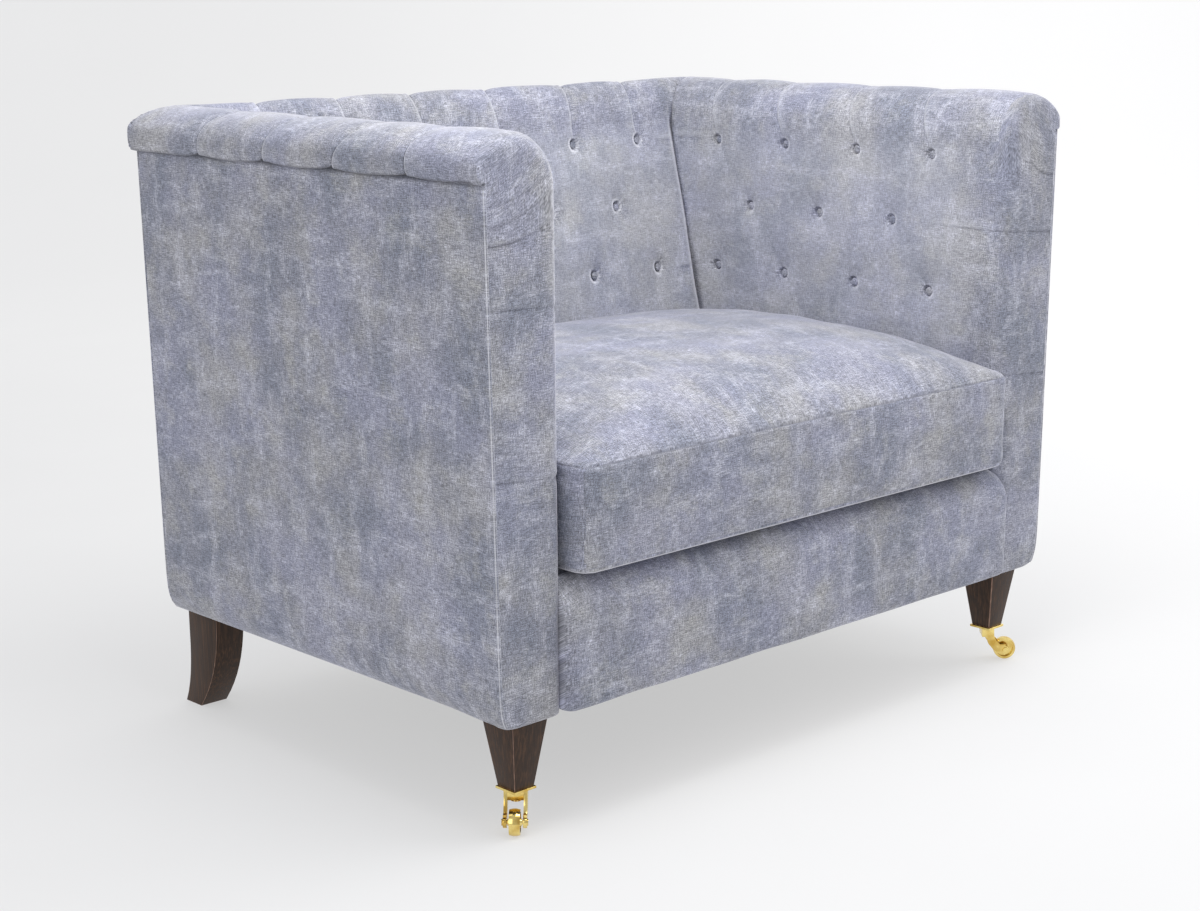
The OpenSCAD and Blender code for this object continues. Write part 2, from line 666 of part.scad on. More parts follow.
module castor_plate() color(brass) in_place() translate([front_leg_x, front_leg_back, plate_z]) difference() {
    translate([-plate_w/2, -plate_w/2, 0]) cube([plate_w, plate_w, plate_t]);
    translate([0, 0, -over]) cylinder(d = stem_d, h = 2*over);
}
module castor_stem() color(brass) in_place() translate([front_leg_x, front_leg_back, 0]) {
    translate([0, 0, rivet_z]) cylinder(d = rivet_d, h = rivet_h);
    translate([0, 0, rivet_z]) cylinder(d = stem_d, h = castor_h + stem_rise - seat_gap - rivet_z);
}

// The cheek's outline in shares of the trail across and of the bridge's height up
cheek_back_shares = [[-0.1, 1], [-0.1, 0.74], [0.04, 0.54], [0.36, 0.33], [0.74, 0.19], [1, 0.18]];
cheek_front_shares = [[1, 0.52], [0.72, 0.5], [0.5, 0.62], [0.36, 0.76], [0.34, 1]];
module cheek() rotate([90, 0, 0]) linear_extrude(cheek_t) difference() {
    union() {
        polygon([for (s = concat(cheek_back_shares, cheek_front_shares)) [s[0]*trail, s[1]*bridge_top]]);
        translate([trail, wheel_r]) circle(eye_r);
    }
    translate([trail, wheel_r]) circle(d = axle_d + 2*running);
}
module castor_horn() color(brass) castor_place() union() {
    translate([0, horn_w/2, 0]) cheek();
    translate([0, -cheek_in, 0]) cheek();
    difference() {
        translate([-bridge_d/2, -horn_w/2, bridge_z]) cube([bridge_d, horn_w, bridge_h]);
        translate([0, 0, bridge_z - over]) cylinder(d = stem_d + 2*running, h = 2*over);
    }
}
axle_head_d = 8;
axle_head_t = 1.5;
module castor_axle() color(brass) castor_place() translate([trail, 0, wheel_r]) rotate([90, 0, 0]) {
    cylinder(d = axle_d, h = horn_w + axle_head_t, center = true);
    for (end = [-1, 1]) translate([0, 0, end*(horn_w + axle_head_t)/2])
        cylinder(d = axle_head_d, h = axle_head_t, center = true);
}

// Wheel section as half widths against radii: a barrel tread, a dished web and a tapered hub
tread_drop = 1;
rim_h = 4;
rim_r = wheel_r - rim_h;
web_w = 4;
hub_r = 5.5;
hub_end_r = 4;
hub_w = 2*(cheek_in - seat_gap);
module castor_wheel() color(brass) castor_place() translate([trail, 0, wheel_r]) rotate([90, 0, 0])
    rotate_extrude() polygon([
        [axle_d/2 + running, -hub_w/2],
        [hub_end_r, -hub_w/2],
        [hub_r, -web_w/2],
        [rim_r, -web_w/2],
        [rim_r, -wheel_w/2],
        [wheel_r - tread_drop, -wheel_w/2],
        [wheel_r, -web_w/2],
        [wheel_r, web_w/2],
        [wheel_r - tread_drop, wheel_w/2],
        [rim_r, wheel_w/2],
        [rim_r, web_w/2],
        [hub_r, web_w/2],
        [hub_end_r, hub_w/2],
        [axle_d/2 + running, hub_w/2]
    ]);
module right_castor_plate() castor_plate();
module left_castor_plate() on_left() castor_plate();
module right_castor_stem() castor_stem();
module left_castor_stem() on_left() castor_stem();
module right_castor_horn() castor_horn();
module left_castor_horn() on_left() castor_horn();
module right_castor_axle() castor_axle();
module left_castor_axle() on_left() castor_axle();
module right_castor_wheel() castor_wheel();
module left_castor_wheel() on_left() castor_wheel();

front_rail();
front_facing_board();
rear_seat_rail();
base_back_rail();
left_side_rail();
right_side_rail();
left_front_post();
right_front_post();
left_rear_post();
right_rear_post();
left_arm_top_rail();
right_arm_top_rail();
left_arm_tack_rail();
right_arm_tack_rail();
back_top_rail();
back_uprights();
corner_blocks();
seat_springs();
spring_clips();
seat_deck();
back_webbing();
left_arm_webbing();
right_arm_webbing();
inner_back_pad();
left_arm_pad();
right_arm_pad();
left_outside_panel();
right_outside_panel();
outside_back_panel();
front_border();
seat_cushion();
back_buttons();
left_arm_buttons();
right_arm_buttons();
dust_cover();
left_front_leg();
right_front_leg();
left_rear_leg();
right_rear_leg();
leg_bolts();
left_castor_plate();
right_castor_plate();
left_castor_stem();
right_castor_stem();
left_castor_horn();
right_castor_horn();
left_castor_axle();
right_castor_axle();
left_castor_wheel();
right_castor_wheel();
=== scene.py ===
# %% [markdown]
# # A snuggler chair
# The timber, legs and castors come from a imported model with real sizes. Here they get their
# finishes, and everything soft is made again as padding under mottled velvet. Lengths in this
# lesson are in millimetres where a name or comment says so, and Blender's own are metres.

# %% Load the frame
import math

import bmesh
import bpy
import numpy as np
from mathutils import Matrix, Vector


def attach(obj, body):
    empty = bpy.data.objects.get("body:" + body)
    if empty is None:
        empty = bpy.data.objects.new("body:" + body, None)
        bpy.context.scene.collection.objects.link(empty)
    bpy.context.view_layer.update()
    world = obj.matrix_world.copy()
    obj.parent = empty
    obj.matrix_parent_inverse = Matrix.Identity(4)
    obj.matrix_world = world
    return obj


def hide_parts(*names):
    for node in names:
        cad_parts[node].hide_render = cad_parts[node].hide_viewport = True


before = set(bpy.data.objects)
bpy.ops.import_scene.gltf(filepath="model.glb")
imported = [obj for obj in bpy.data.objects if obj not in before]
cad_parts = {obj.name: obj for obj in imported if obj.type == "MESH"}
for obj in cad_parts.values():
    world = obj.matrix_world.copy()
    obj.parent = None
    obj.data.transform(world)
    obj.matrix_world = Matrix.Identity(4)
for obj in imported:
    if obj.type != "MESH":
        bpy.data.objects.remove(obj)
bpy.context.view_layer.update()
MM = 0.001

# %% [markdown]
# ## Places that everything shares
# The chair is built from its front: depths are counted from the front of the arms towards the
# back. Only at the end is a piece moved by FRONT, so that the origin lies below its middle.

# %% Driving sizes in millimetres
FRONT = -337.0          # the front of the arms, along Y
INNER_X = 406.0         # inner face of an arm
PANEL_X, SEAM_X = 510.0, 522.0
ROLL_X = 530.0          # the roll's widest place
CREST_X = (INNER_X + ROLL_X)/2
BASE_Z, SEAM_Z = 142.3, 757.0
SHOULDER_Z, WIDEST_Z, CREST_Z = 745.0, 775.0, 810.0
BODY_D = 682.0
BACK_SLOPE = math.tan(math.radians(13.4))
ROW_Z = (722.9, 626.9, 531.0, 435.0)
ARM_COLUMN, ARM_FIRST = 136.0, 128.3
BACK_COLUMN = 134.0
LEVEL_FOOT = 289.6      # lower edge of the inner padding
TIMBER_BACK = 677.7     # the rear face of the timber
SKIN_VOXEL = 3.2        # the grid over which padding is joined into one skin
TUFT_REACHES = (24, 9)  # how near to a fold that skin is made finer, and finer again
SEAM_LAP = 4            # how far above the seam under the roll an edge stays sharp
SHARP_X, SHARP_Y = 500, 672     # beyond these places the edges along the panels stay sharp


def back_y(z):
    """Depth of the inner back at a height."""
    return 631.0 - BACK_SLOPE*(ROW_Z[0] - z)


SHOULDER_Y = back_y(SHOULDER_Z)
BACK_ROLL_Y = 690.0
BACK_CREST_Y = (SHOULDER_Y + BACK_ROLL_Y)/2
print("the back's shoulder lies at", round(SHOULDER_Y, 1), "mm")

# %% [markdown]
# ## The photograph's camera
# A long lens from high on the left, looking a little down. The position and the three
# directions were found by fitting known corners of the chair to the picture.

# %% Camera
SENSOR, PHOTO_WIDTH = 36, 1200      # millimetres and pixels
FOCAL_PIXELS = 2181.7
camera_data = bpy.data.cameras.new("camera")
camera = bpy.data.objects.new("camera", camera_data)
bpy.context.scene.collection.objects.link(camera)
right = Vector((0.72451274, -0.68923031, -0.00654721))
up = Vector((0.15590344, 0.15461682, 0.9755961))
ahead = Vector((0.6713981, 0.70785254, -0.21947523))
place = Vector((-2028.857, -1766.614 + FRONT, 983.404))*MM
turn = Matrix((right, up, -ahead)).transposed().to_4x4()
camera.matrix_world = Matrix.Translation(place) @ turn
camera_data.sensor_width = SENSOR
camera_data.lens = FOCAL_PIXELS/PHOTO_WIDTH*SENSOR
camera_data.clip_end = 100
bpy.context.scene.camera = camera
print("camera at", [round(v, 3) for v in place], "lens", round(camera_data.lens, 2), "mm")

# %% [markdown]
# ## Small helpers for materials
# Colours are written as the hex values that a screen shows, and one function turns them into
# the linear light that a shader works with. One more adds a node with its settings and links.


# %% Colour and node helpers
def linear(code):
    """A hex colour such as 9a9cab as linear red, green, blue and alpha."""
    parts = [int(code[i:i + 2], 16)/255 for i in (0, 2, 4)]
    return tuple(c/12.92 if c <= 0.04045 else ((c + 0.055)/1.055)**2.4 for c in parts) + (1.0,)


def fill(tree, node, inputs):
    """Sets a node's inputs, given by number or by name, to values or links them to sockets."""
    for key, value in inputs.items():
        socket = node.inputs[key.replace("_", " ") if isinstance(key, str) else key]
        if isinstance(value, bpy.types.NodeSocket):
            tree.links.new(value, socket)
        else:
            socket.default_value = value


def add(tree, kind, settings, *inputs, out=0, stops=(), **named):
    """Adds a node of a kind and gives back one of its outputs. settings are its own properties,
    inputs come in its own order or by name, and stops are a ramp's (place, hex colour) pairs."""
    node = tree.nodes.new("ShaderNode" + kind)
    for name, value in settings.items():
        setattr(node, name, value)
    for index, (at, code) in enumerate(stops):
        stop = node.color_ramp.elements[index] if index < 2 else node.color_ramp.elements.new(at)
        stop.position, stop.color = at, linear(code)
    fill(tree, node, dict(enumerate(inputs), **named))
    return node.outputs[out]


def new_material(name, pattern, *options):
    """A material. pattern(tree, *options) gives the values and sockets of its Principled shader."""
    material = bpy.data.materials.new(name)
    material.use_nodes = True
    tree = material.node_tree
    fill(tree, tree.nodes["Principled BSDF"], pattern(tree, *options))
    return material


SMOOTH = {"interpolation_type": "SMOOTHSTEP"}
TIMES = {"operation": "MULTIPLY"}
print("mid velvet in linear light:", [round(c, 3) for c in linear("9a9cab")])

# %% [markdown]
# ## Velvet
# The cover is a crushed chenille velvet: a plain weave of uneven yarns whose pile was pressed in
# random directions and then space-dyed. Close up it is a cross-hatch of yarns about a
# millimetre apart, with short light slubs. From a step away it shows soft blotches, 20 to
# 90 mm long, that run with the warp or with the weft, in grey-blue, lavender and warm beige.
# The pile scatters light at grazing angles, so every edge turns pale: that is the sheen.
# Each piece carries a UV map in metres, laid along its own cloth, so the weave turns corners.


# %% Velvet
VELVET_TONES = [(0.0, "7d818e"), (0.45, "878994"), (0.75, "8f9097"), (1.0, "9a9a9e")]
VELVET_LAVENDER, VELVET_BEIGE, VELVET_PALE = "9496a9", "acaba6", "c0c1cc"
# The colours mixed in for painted highlights on lips and seams, and for painted shade in folds
VELVET_PAINTED_HIGHLIGHT, VELVET_PAINTED_SHADE = "e4e5eb", "2c2d33"


def stretched_noise(tree, uv, along, across, detail, seed, roughness=0.55):
    """Noise whose features are along mm long in U and across mm wide in V."""
    at = add(tree, "Mapping", {}, Vector=uv, Location=(seed*7.31, seed*3.77, 0),
             Scale=(1000/along, 1000/across, 1))
    return add(tree, "TexNoise", {"noise_dimensions": "2D"}, Vector=at,
               Scale=1.0, Detail=detail, Roughness=roughness)


def tinted(tree, colour, layers):
    """A colour mixed with each (hex colour, share) in turn."""
    for code, share in layers:
        mixed = add(tree, "Mix", {"data_type": "RGBA"}, share, out=2)
        fill(tree, mixed.node, {6: colour, 7: linear(code)})
        colour = mixed
    return colour


def crushed_velvet(tree, seed):
    """Crushed chenille velvet, different in its blotches for each seed."""
    uv = add(tree, "UVMap", {"uv_map": "cloth"})
    # The dye drifts slowly from blue-grey to a warm grey, and to lavender here and there
    drift = stretched_noise(tree, uv, 100, 130, 4, seed)
    violet = stretched_noise(tree, uv, 170, 130, 3, seed + 5)
    # Patches of pressed pile, longer along the warp or along the weft
    warp_patch = stretched_noise(tree, uv, 24, 74, 4, seed + 2, 0.6)
    weft_patch = stretched_noise(tree, uv, 70, 20, 4, seed + 3, 0.6)
    beige_patch = stretched_noise(tree, uv, 48, 52, 4, seed + 23, 0.6)
    # Yarns each way, longer slubs each way, and the pile's own grain
    warp = stretched_noise(tree, uv, 1.1, 8, 1, seed + 11)
    weft = stretched_noise(tree, uv, 10, 1.1, 1, seed + 13)
    slub_weft = stretched_noise(tree, uv, 22, 2.4, 2, seed + 17)
    slub_warp = stretched_noise(tree, uv, 2.4, 20, 2, seed + 31)
    grain = stretched_noise(tree, uv, 1.2, 1.2, 1, seed + 19)
    colour = add(tree, "ValToRGB", {}, stops=VELVET_TONES,
                 Fac=add(tree, "MapRange", SMOOTH, drift, 0.30, 0.70))
    lavender = add(tree, "MapRange", SMOOTH, violet, 0.42, 0.66, 0.0, 0.6)
    layers = [(VELVET_LAVENDER, lavender)]
    for patch, code, share, streaks in ((beige_patch, VELVET_BEIGE, 0.42, slub_weft),
                                        (warp_patch, VELVET_PALE, 0.44, slub_warp),
                                        (weft_patch, VELVET_PALE, 0.44, slub_weft)):
        amount = add(tree, "MapRange", SMOOTH, patch, 0.48, 0.74, 0.0, share)
        broken = add(tree, "MapRange", SMOOTH, streaks, 0.35, 0.7, 0.5)
        layers.append((code, add(tree, "Math", TIMES, amount, broken)))
    colour = tinted(tree, colour, layers)
    halves = [add(tree, "Math", TIMES, yarns, 0.5) for yarns in (warp, weft)]
    threads = add(tree, "Math", {"operation": "ADD"}, *halves)
    shade = add(tree, "MapRange", SMOOTH, threads, 0.3, 0.74, 0.66, 1.46)
    for noise, dark, light in ((grain, 0.7, 1.44), (slub_weft, 0.96, 1.05), (slub_warp, 0.96, 1.05)):
        uneven = add(tree, "MapRange", SMOOTH, noise, 0.25, 0.8, dark, light)
        shade = add(tree, "Math", TIMES, shade, uneven)
    colour = add(tree, "VectorMath", {"operation": "SCALE"}, colour, Scale=shade)
    # Painted highlights on seams and lips and painted shade deep in folds come from a point attribute set on
    # each piece
    painted_light = add(tree, "Attribute", {"attribute_name": "painted_light"}, out="Fac")
    colour = tinted(tree, colour, [
        (VELVET_PAINTED_HIGHLIGHT, add(tree, "MapRange", SMOOTH, painted_light, 0.0, 1.0, 0.0, 0.75)),
        (VELVET_PAINTED_SHADE, add(tree, "MapRange", SMOOTH, painted_light, 0.0, -1.0, 0.0, 0.85))])
    return dict(Base_Color=colour, Roughness=0.85, Specular_IOR_Level=0.2, Sheen_Weight=0.8,
                Sheen_Roughness=0.3, Sheen_Tint=linear("f2f2fa"),
                Normal=add(tree, "Bump", {}, Height=threads, Strength=0.3, Distance=0.0006))


velvet = new_material("crushed_velvet", crushed_velvet, 1.0)
print("velvet:", velvet.name, "with", len(velvet.node_tree.nodes), "nodes")

# %% [markdown]
# ## Padding as meshes
# Each padded piece starts as a prism over a few outline points, drawn out with extrude and cut
# with bisect. A voxel remesh then joins its blocks into one even skin, and smoothing rounds the
# corners as stuffing does. What the needle did to it, the folds and dimples, comes last: every
# point moves along its normal by a depth that depends on where it lies on the cloth.


# %% Mesh helpers
def finish_object(name, bm, material):
    """An object from a bmesh, linked to the scene, with its normals outwards."""
    bmesh.ops.recalc_face_normals(bm, faces=bm.faces)
    mesh = bpy.data.meshes.new(name)
    bm.to_mesh(mesh)
    bm.free()
    mesh.materials.append(material)
    piece = bpy.data.objects.new(name, mesh)
    bpy.context.scene.collection.objects.link(piece)
    return piece


def add_prism(bm, corners, along, length):
    """Extrudes a face over corner points, in millimetres, by length along a direction."""
    face = bm.faces.new([bm.verts.new(Vector(c)*MM) for c in corners])
    out = bmesh.ops.extrude_face_region(bm, geom=[face])["geom"]
    moved = [v for v in out if isinstance(v, bmesh.types.BMVert)]
    bmesh.ops.translate(bm, verts=moved, vec=Vector(along)*length*MM)
    return moved


def draw_round(bm, rim, direction, radius, pull):
    """Extrudes an end face in five steps round a quarter circle. pull(co, inset) draws it in."""
    for k in range(1, 6):
        before, after = math.radians(18*(k - 1)), math.radians(18*k)
        face = next(f for f in bm.faces if all(v in rim for v in f.verts))
        out = bmesh.ops.extrude_face_region(bm, geom=[face])["geom"]
        rim = [v for v in out if isinstance(v, bmesh.types.BMVert)]
        bmesh.ops.delete(bm, geom=[face], context="FACES_ONLY")
        ahead_by = radius*(math.sin(after) - math.sin(before))*MM
        bmesh.ops.translate(bm, verts=rim, vec=Vector(direction)*ahead_by)
        for v in rim:
            pull(v.co, radius*(math.cos(before) - math.cos(after))*MM)


def cut_mitre(bm, side, lap, keep):
    """Cuts upright along the mitre of arm and back, lap mm further out, and closes the cut."""
    inner = Vector((side*(INNER_X + lap), SHOULDER_Y, 0))
    outer = Vector((side*(ROLL_X + lap), BACK_ROLL_Y, 0))
    across = (outer - inner).cross(Vector((0, 0, 1)))*keep
    found = bmesh.ops.bisect_plane(bm, geom=bm.verts[:] + bm.edges[:] + bm.faces[:], plane_no=across,
                                   plane_co=inner*MM, clear_outer=True)["geom_cut"]
    bmesh.ops.edgeloop_fill(bm, edges=[e for e in found if isinstance(e, bmesh.types.BMEdge)])


def round_edges(bm, edges, radius, steps, **options):
    """Bevels edges by a radius in millimetres and gives back the new faces."""
    return bmesh.ops.bevel(bm, geom=edges, offset=radius*MM, segments=steps, profile=0.5, affect="EDGES",
                           material=-1, **options)["faces"]


def join_into(bm, other):
    """Adds another bmesh's faces to this one."""
    mesh = bpy.data.meshes.new("joined")
    other.to_mesh(mesh)
    other.free()
    bm.from_mesh(mesh)
    bpy.data.meshes.remove(mesh)


def bake(piece):
    """Applies a piece's modifiers to its mesh."""
    materials = list(piece.data.materials)
    graph = bpy.context.evaluated_depsgraph_get()
    mesh = bpy.data.meshes.new_from_object(piece.evaluated_get(graph))
    piece.modifiers.clear()
    piece.data = mesh
    for material in materials[len(mesh.materials):]:
        mesh.materials.append(material)


def skin_over(piece, voxel_mm, rounds, sharp=None):
    """Voxel remesh, then smoothing rounds that leave alone the points where sharp(points) holds."""
    remesh = piece.modifiers.new("remesh", "REMESH")
    remesh.mode = "VOXEL"
    remesh.voxel_size = voxel_mm*MM
    bake(piece)
    smooth = piece.modifiers.new("smooth", "SMOOTH")
    smooth.iterations = rounds
    if sharp:
        weigh(piece, "soft", np.where(sharp(points(piece)), 0.0, 1.0))
        smooth.vertex_group = "soft"
    bake(piece)
    piece.vertex_groups.clear()


def weigh(piece, name, weights):
    """A vertex group with a weight for each point, in steps of a tenth."""
    group = piece.vertex_groups.new(name=name)
    weights = np.round(weights, 1)
    for level in np.unique(weights[weights > 0]):
        group.add(np.nonzero(weights == level)[0].tolist(), float(level), "REPLACE")


def refine(piece, near):
    """Splits the edges whose middle lies where near(points) is true, for the finer folds."""
    bm = bmesh.new()
    bm.from_mesh(piece.data)
    ends = np.array([(*e.verts[0].co, *e.verts[1].co) for e in bm.edges])
    chosen = near((ends[:, :3] + ends[:, 3:])/2/MM)
    edges = [e for e, wanted in zip(bm.edges, chosen) if wanted]
    bmesh.ops.subdivide_edges(bm, edges=edges, cuts=1, use_grid_fill=True)
    bm.to_mesh(piece.data)
    bm.free()
    print(piece.name, "refined to", len(piece.data.vertices), "points")


def points(piece):
    """The mesh's points in millimetres, one row each."""
    flat = np.empty(len(piece.data.vertices)*3)
    piece.data.vertices.foreach_get("co", flat)
    return flat.reshape(-1, 3)/MM


def normals(piece):
    """The mesh's normals at its points, one row each."""
    flat = np.empty(len(piece.data.vertices)*3, np.float32)
    piece.data.vertices.foreach_get("normal", flat)
    return flat.reshape(-1, 3).astype(float)


def put_points(piece, where):
    """Moves the mesh's points to places in millimetres."""
    piece.data.vertices.foreach_set("co", (where*MM).ravel())
    piece.data.update()


def cloth_uv(piece, chart, offset):
    """The cloth's own map in metres. chart(points, normals) gives each corner's U and V in mm."""
    mesh = piece.data
    corner = np.empty(len(mesh.loops), np.int32)
    mesh.loops.foreach_get("vertex_index", corner)
    sizes = np.empty(len(mesh.polygons), np.int32)
    mesh.polygons.foreach_get("loop_total", sizes)
    facing = np.empty(len(mesh.polygons)*3, np.float32)
    mesh.polygons.foreach_get("normal", facing)
    facing = np.repeat(facing.reshape(-1, 3), sizes, axis=0)
    uv = chart(points(piece)[corner], facing)*MM + np.array(offset)
    layer = mesh.uv_layers.new(name="cloth")
    layer.data.foreach_set("uv", uv.astype(np.float32).ravel())


def set_painted_light(piece, values):
    """Painted light and shade at each point: above 0 a painted highlight, below 0 painted shade."""
    layer = piece.data.attributes.new("painted_light", "FLOAT", "POINT")
    layer.data.foreach_set("value", np.clip(values, -1, 1).astype(np.float32))


def thicken(piece, thickness, offset=-1):
    """Gives a surface its thickness in millimetres, downwards or as offset says."""
    thick = piece.modifiers.new("thickness", "SOLIDIFY")
    thick.thickness = thickness*MM
    thick.offset = offset


def smooth_faces(piece):
    """Shades a piece smoothly."""
    piece.data.polygons.foreach_set("use_smooth", [True]*len(piece.data.polygons))
    piece.data.update()


def upholster(piece, node, body="chair"):
    """Moves the mesh back by FRONT and lets it ride in place of its CAD node."""
    smooth_faces(piece)
    piece.data.transform(Matrix.Translation((0, FRONT*MM, 0)))
    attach(piece, body)
    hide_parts(node)
    print(piece.name, len(piece.data.polygons), "faces in place of", node)


def quarter(middle, reach, rise, start, stop, count):
    """Points of an elliptical arc, in degrees from straight up."""
    turns = [math.radians(start + (stop - start)*i/count) for i in range(count + 1)]
    return [(middle[0] + reach*math.sin(a), middle[1] + rise*math.cos(a)) for a in turns]


def roll_outline(inner, crest, widest, seam):
    """The roll's section from its inner shoulder over the crest to the seam below."""
    over_inside = quarter((crest, SHOULDER_Z), inner - crest, CREST_Z - SHOULDER_Z, 90, 0, 10)
    down_outside = quarter((crest, WIDEST_Z), widest - crest, CREST_Z - WIDEST_Z, 9, 90, 9)
    tuck = quarter((seam, WIDEST_Z), widest - seam, WIDEST_Z - SEAM_Z, 112, 180, 4)
    return over_inside + down_outside + tuck


print("roll outline points:", len(roll_outline(INNER_X, CREST_X, ROLL_X, SEAM_X)))

# %% [markdown]
# ## How far along the cloth
# Folds are sewn into flat cloth, so they are described on it. V runs up the inner face and on
# over the roll to the seam outside. It is the length of the path over the section: a straight
# part, a quarter of an ellipse up to the crest, a quarter down, and the tuck.


# %% Cloth lengths
def over_roll(level, across, inner, crest, widest):
    """V in mm for points at a height and a distance across the roll."""
    rise, fall = CREST_Z - SHOULDER_Z, CREST_Z - WIDEST_Z
    up_length = math.pi/2*(crest - inner + rise)/2
    down_length = math.pi/2*(widest - crest + fall)/2
    up_turn = np.arctan2((level - SHOULDER_Z)/rise, np.maximum(crest - across, 0)/(crest - inner))
    down_turn = np.arctan2(np.maximum(across - crest, 0)/(widest - crest),
                           np.maximum(level - WIDEST_Z, 0)/fall)
    tuck = np.clip(WIDEST_Z - level, 0, WIDEST_Z - SEAM_Z)
    inside = SHOULDER_Z + np.clip(up_turn, 0, math.pi/2)/(math.pi/2)*up_length
    outside = SHOULDER_Z + up_length + np.clip(down_turn, 0, math.pi/2)/(math.pi/2)*down_length + tuck
    on_roll = np.where(across < crest, inside, outside)
    return np.where((level < SHOULDER_Z) & (across < crest), level, on_roll)


UP_LENGTH = math.pi/2*(CREST_X - INNER_X + CREST_Z - SHOULDER_Z)/2
print("from shoulder to crest over an arm:", round(UP_LENGTH), "mm of cloth")

# %% [markdown]
# ## Folds, dimples and pleats
# A fold in thick velvet is a narrow crease in a broad shallow valley. Below, each feature gives
# a depth in millimetres for every point of the cloth, and the light or shade painted there. A little
# unevenness is added last: hand stuffing is never quite flat.


# %% Relief
def bell(distance, width):
    """1 at distance 0, falling softly to nothing at about twice the width."""
    return np.exp(-(distance/width)**2)


def blend(low, high, value):
    """0 at low and 1 at high, with a soft step between."""
    t = np.clip((value - low)/(high - low), 0, 1)
    return t*t*(3 - 2*t)


def dimple(u, v, centre, seed, pit, broad, lip, shadow_arc_side):
    """A button's pit, which lies a little towards the side of its painted shadow arc, and the gathers in the
    far wall.
    """
    du, dv = u - centre[0] - 2.2*shadow_arc_side, v - centre[1]
    away, bearing = np.hypot(du, dv), np.arctan2(dv, du)
    from_button = np.hypot(u - centre[0], dv)
    gathers = 0.6*np.cos(9*bearing + seed*1.7) + 0.5*np.cos(14*bearing + seed)
    far = 0.5 + 0.5*np.cos(bearing + 0.4*np.sin(seed*3))
    depth = (pit*(0.6*(1 - blend(5.8, 9.0, away)) + 0.4*np.exp(-away/11)) + broad*bell(away, 26)
             + 0.5*gathers*(0.4 + 0.6*far)*bell(away - 11, 5))
    # Painted shadow makes a dark arc along one side of the button, and painted light lifts the other side
    # flush with the cloth. Painted shade lies on the far wall of the pit, towards +U, and a painted highlight
    # on the near lip
    shadow_arc_share = far if shadow_arc_side > 0 else 1 - far
    shade = far**2*(0.3 + 0.22*gathers)*bell(away - 7, 8 - 3.5*shadow_arc_side)
    painted_light = (lip*(1 - far)**1.5*bell(away - 10.5, 2) - shadow_arc_share**1.5*bell(from_button - 6.4, 1.6)
            + 0.6*(1 - shadow_arc_share)*bell(from_button - 6.2, 1.5) - shade)
    return np.stack([depth, painted_light])


def crease(distance, narrow, valley, lip, fold_shade):
    """A folded pleat: the cloth slopes in from one side and stands up as a lip on the other."""
    slope = np.where(distance < 0, np.exp(distance/4.0), np.exp(-distance/1.3))
    raised = lip*np.where(distance > 0, bell(distance - 4.5, 4), 0)
    # Painted highlight on the lip, painted shade in the fold, and a little painted light and shade on either
    # side
    painted_light = (0.24*lip*bell(distance - 3, 2.2) - fold_shade*bell(distance + 0.5, 1.7)
            + 0.1*lip*(bell(distance - 8, 6) - bell(distance + 7, 6)))
    return np.stack([narrow*slope + valley*bell(distance, 12) - raised, painted_light])


def fold_between(u, v, a, b, narrow, valley):
    """A soft fold from one button to the next, sharpest at both ends."""
    along = np.array(b) - np.array(a)
    length = np.hypot(*along)
    t = np.clip(((u - a[0])*along[0] + (v - a[1])*along[1])/length**2, 0, 1)
    away = np.hypot(u - a[0] - t*along[0], v - a[1] - t*along[1])
    ends = np.abs(2*t - 1)
    return narrow*ends**2*np.exp(-away/3.2) + valley*(0.35 + 0.65*ends)*bell(away, 11)


def unevenness(u, v, amount, seed):
    """Slow waves of 70 to 220 mm from seeded directions."""
    rng = np.random.default_rng(seed)
    total = 0*u
    for _ in range(9):
        length, heading, phase = (rng.uniform(*span) for span in ((70, 220), (0, math.tau), (0, math.tau)))
        total = total + np.sin((u*math.cos(heading) + v*math.sin(heading))*math.tau/length + phase)
    return amount*total/3


def button_spots(first, pitch, count):
    """Buttons by row from the top, and the hidden anchors below the lowest row."""
    return [[(first + (i + (row % 2)/2)*pitch, z) for i in range(count - row % 2)]
            for row, z in enumerate(ROW_Z)]


ARM_SPOTS = button_spots(ARM_FIRST, ARM_COLUMN, 4)
BACK_SPOTS = button_spots(-2.5*BACK_COLUMN, BACK_COLUMN, 6)


def tufting(u, v, spots, seed, *pit):
    """Dimples on three rows, and the soft folds from each button to the two below it."""
    total = np.zeros((2, len(u)))
    for row in range(3):
        for index, spot in enumerate(spots[row]):
            total = total + dimple(u, v, spot, seed + index*2.3 + row, *pit)
    folds = 0*u
    pitch = spots[0][1][0] - spots[0][0][0]
    for row in range(3):
        for a in spots[row]:
            for b in spots[row + 1]:
                if abs(a[0] - b[0]) < 0.6*pitch:
                    folds = np.maximum(folds, fold_between(u, v, a, b, 0.8, 1.2))
    total[0] += folds
    return total


def roll_share(v, top):
    """How far up the roll a point lies, 0 at the top buttons and 1 at the seam."""
    return np.clip((v - ROW_Z[0])/(top - ROW_Z[0]), 0, 1)


def from_pleats(u, t, spots, leans):
    """Distance of every point to each pleat of the roll, which bends from its button to the seam."""
    return [u - (column + lean*np.sin(math.pi*t)) for (column, _), lean in zip(spots[0], leans)]


def between_pleats(u, t, spots, leans):
    """From 0 on a pleat to 1 halfway to the next, rounded like a puff."""
    nearest = np.min(np.abs(from_pleats(u, t, spots, leans)), axis=0)
    return np.sin(np.clip(nearest/(ARM_COLUMN/2), 0, 1)*math.pi/2)


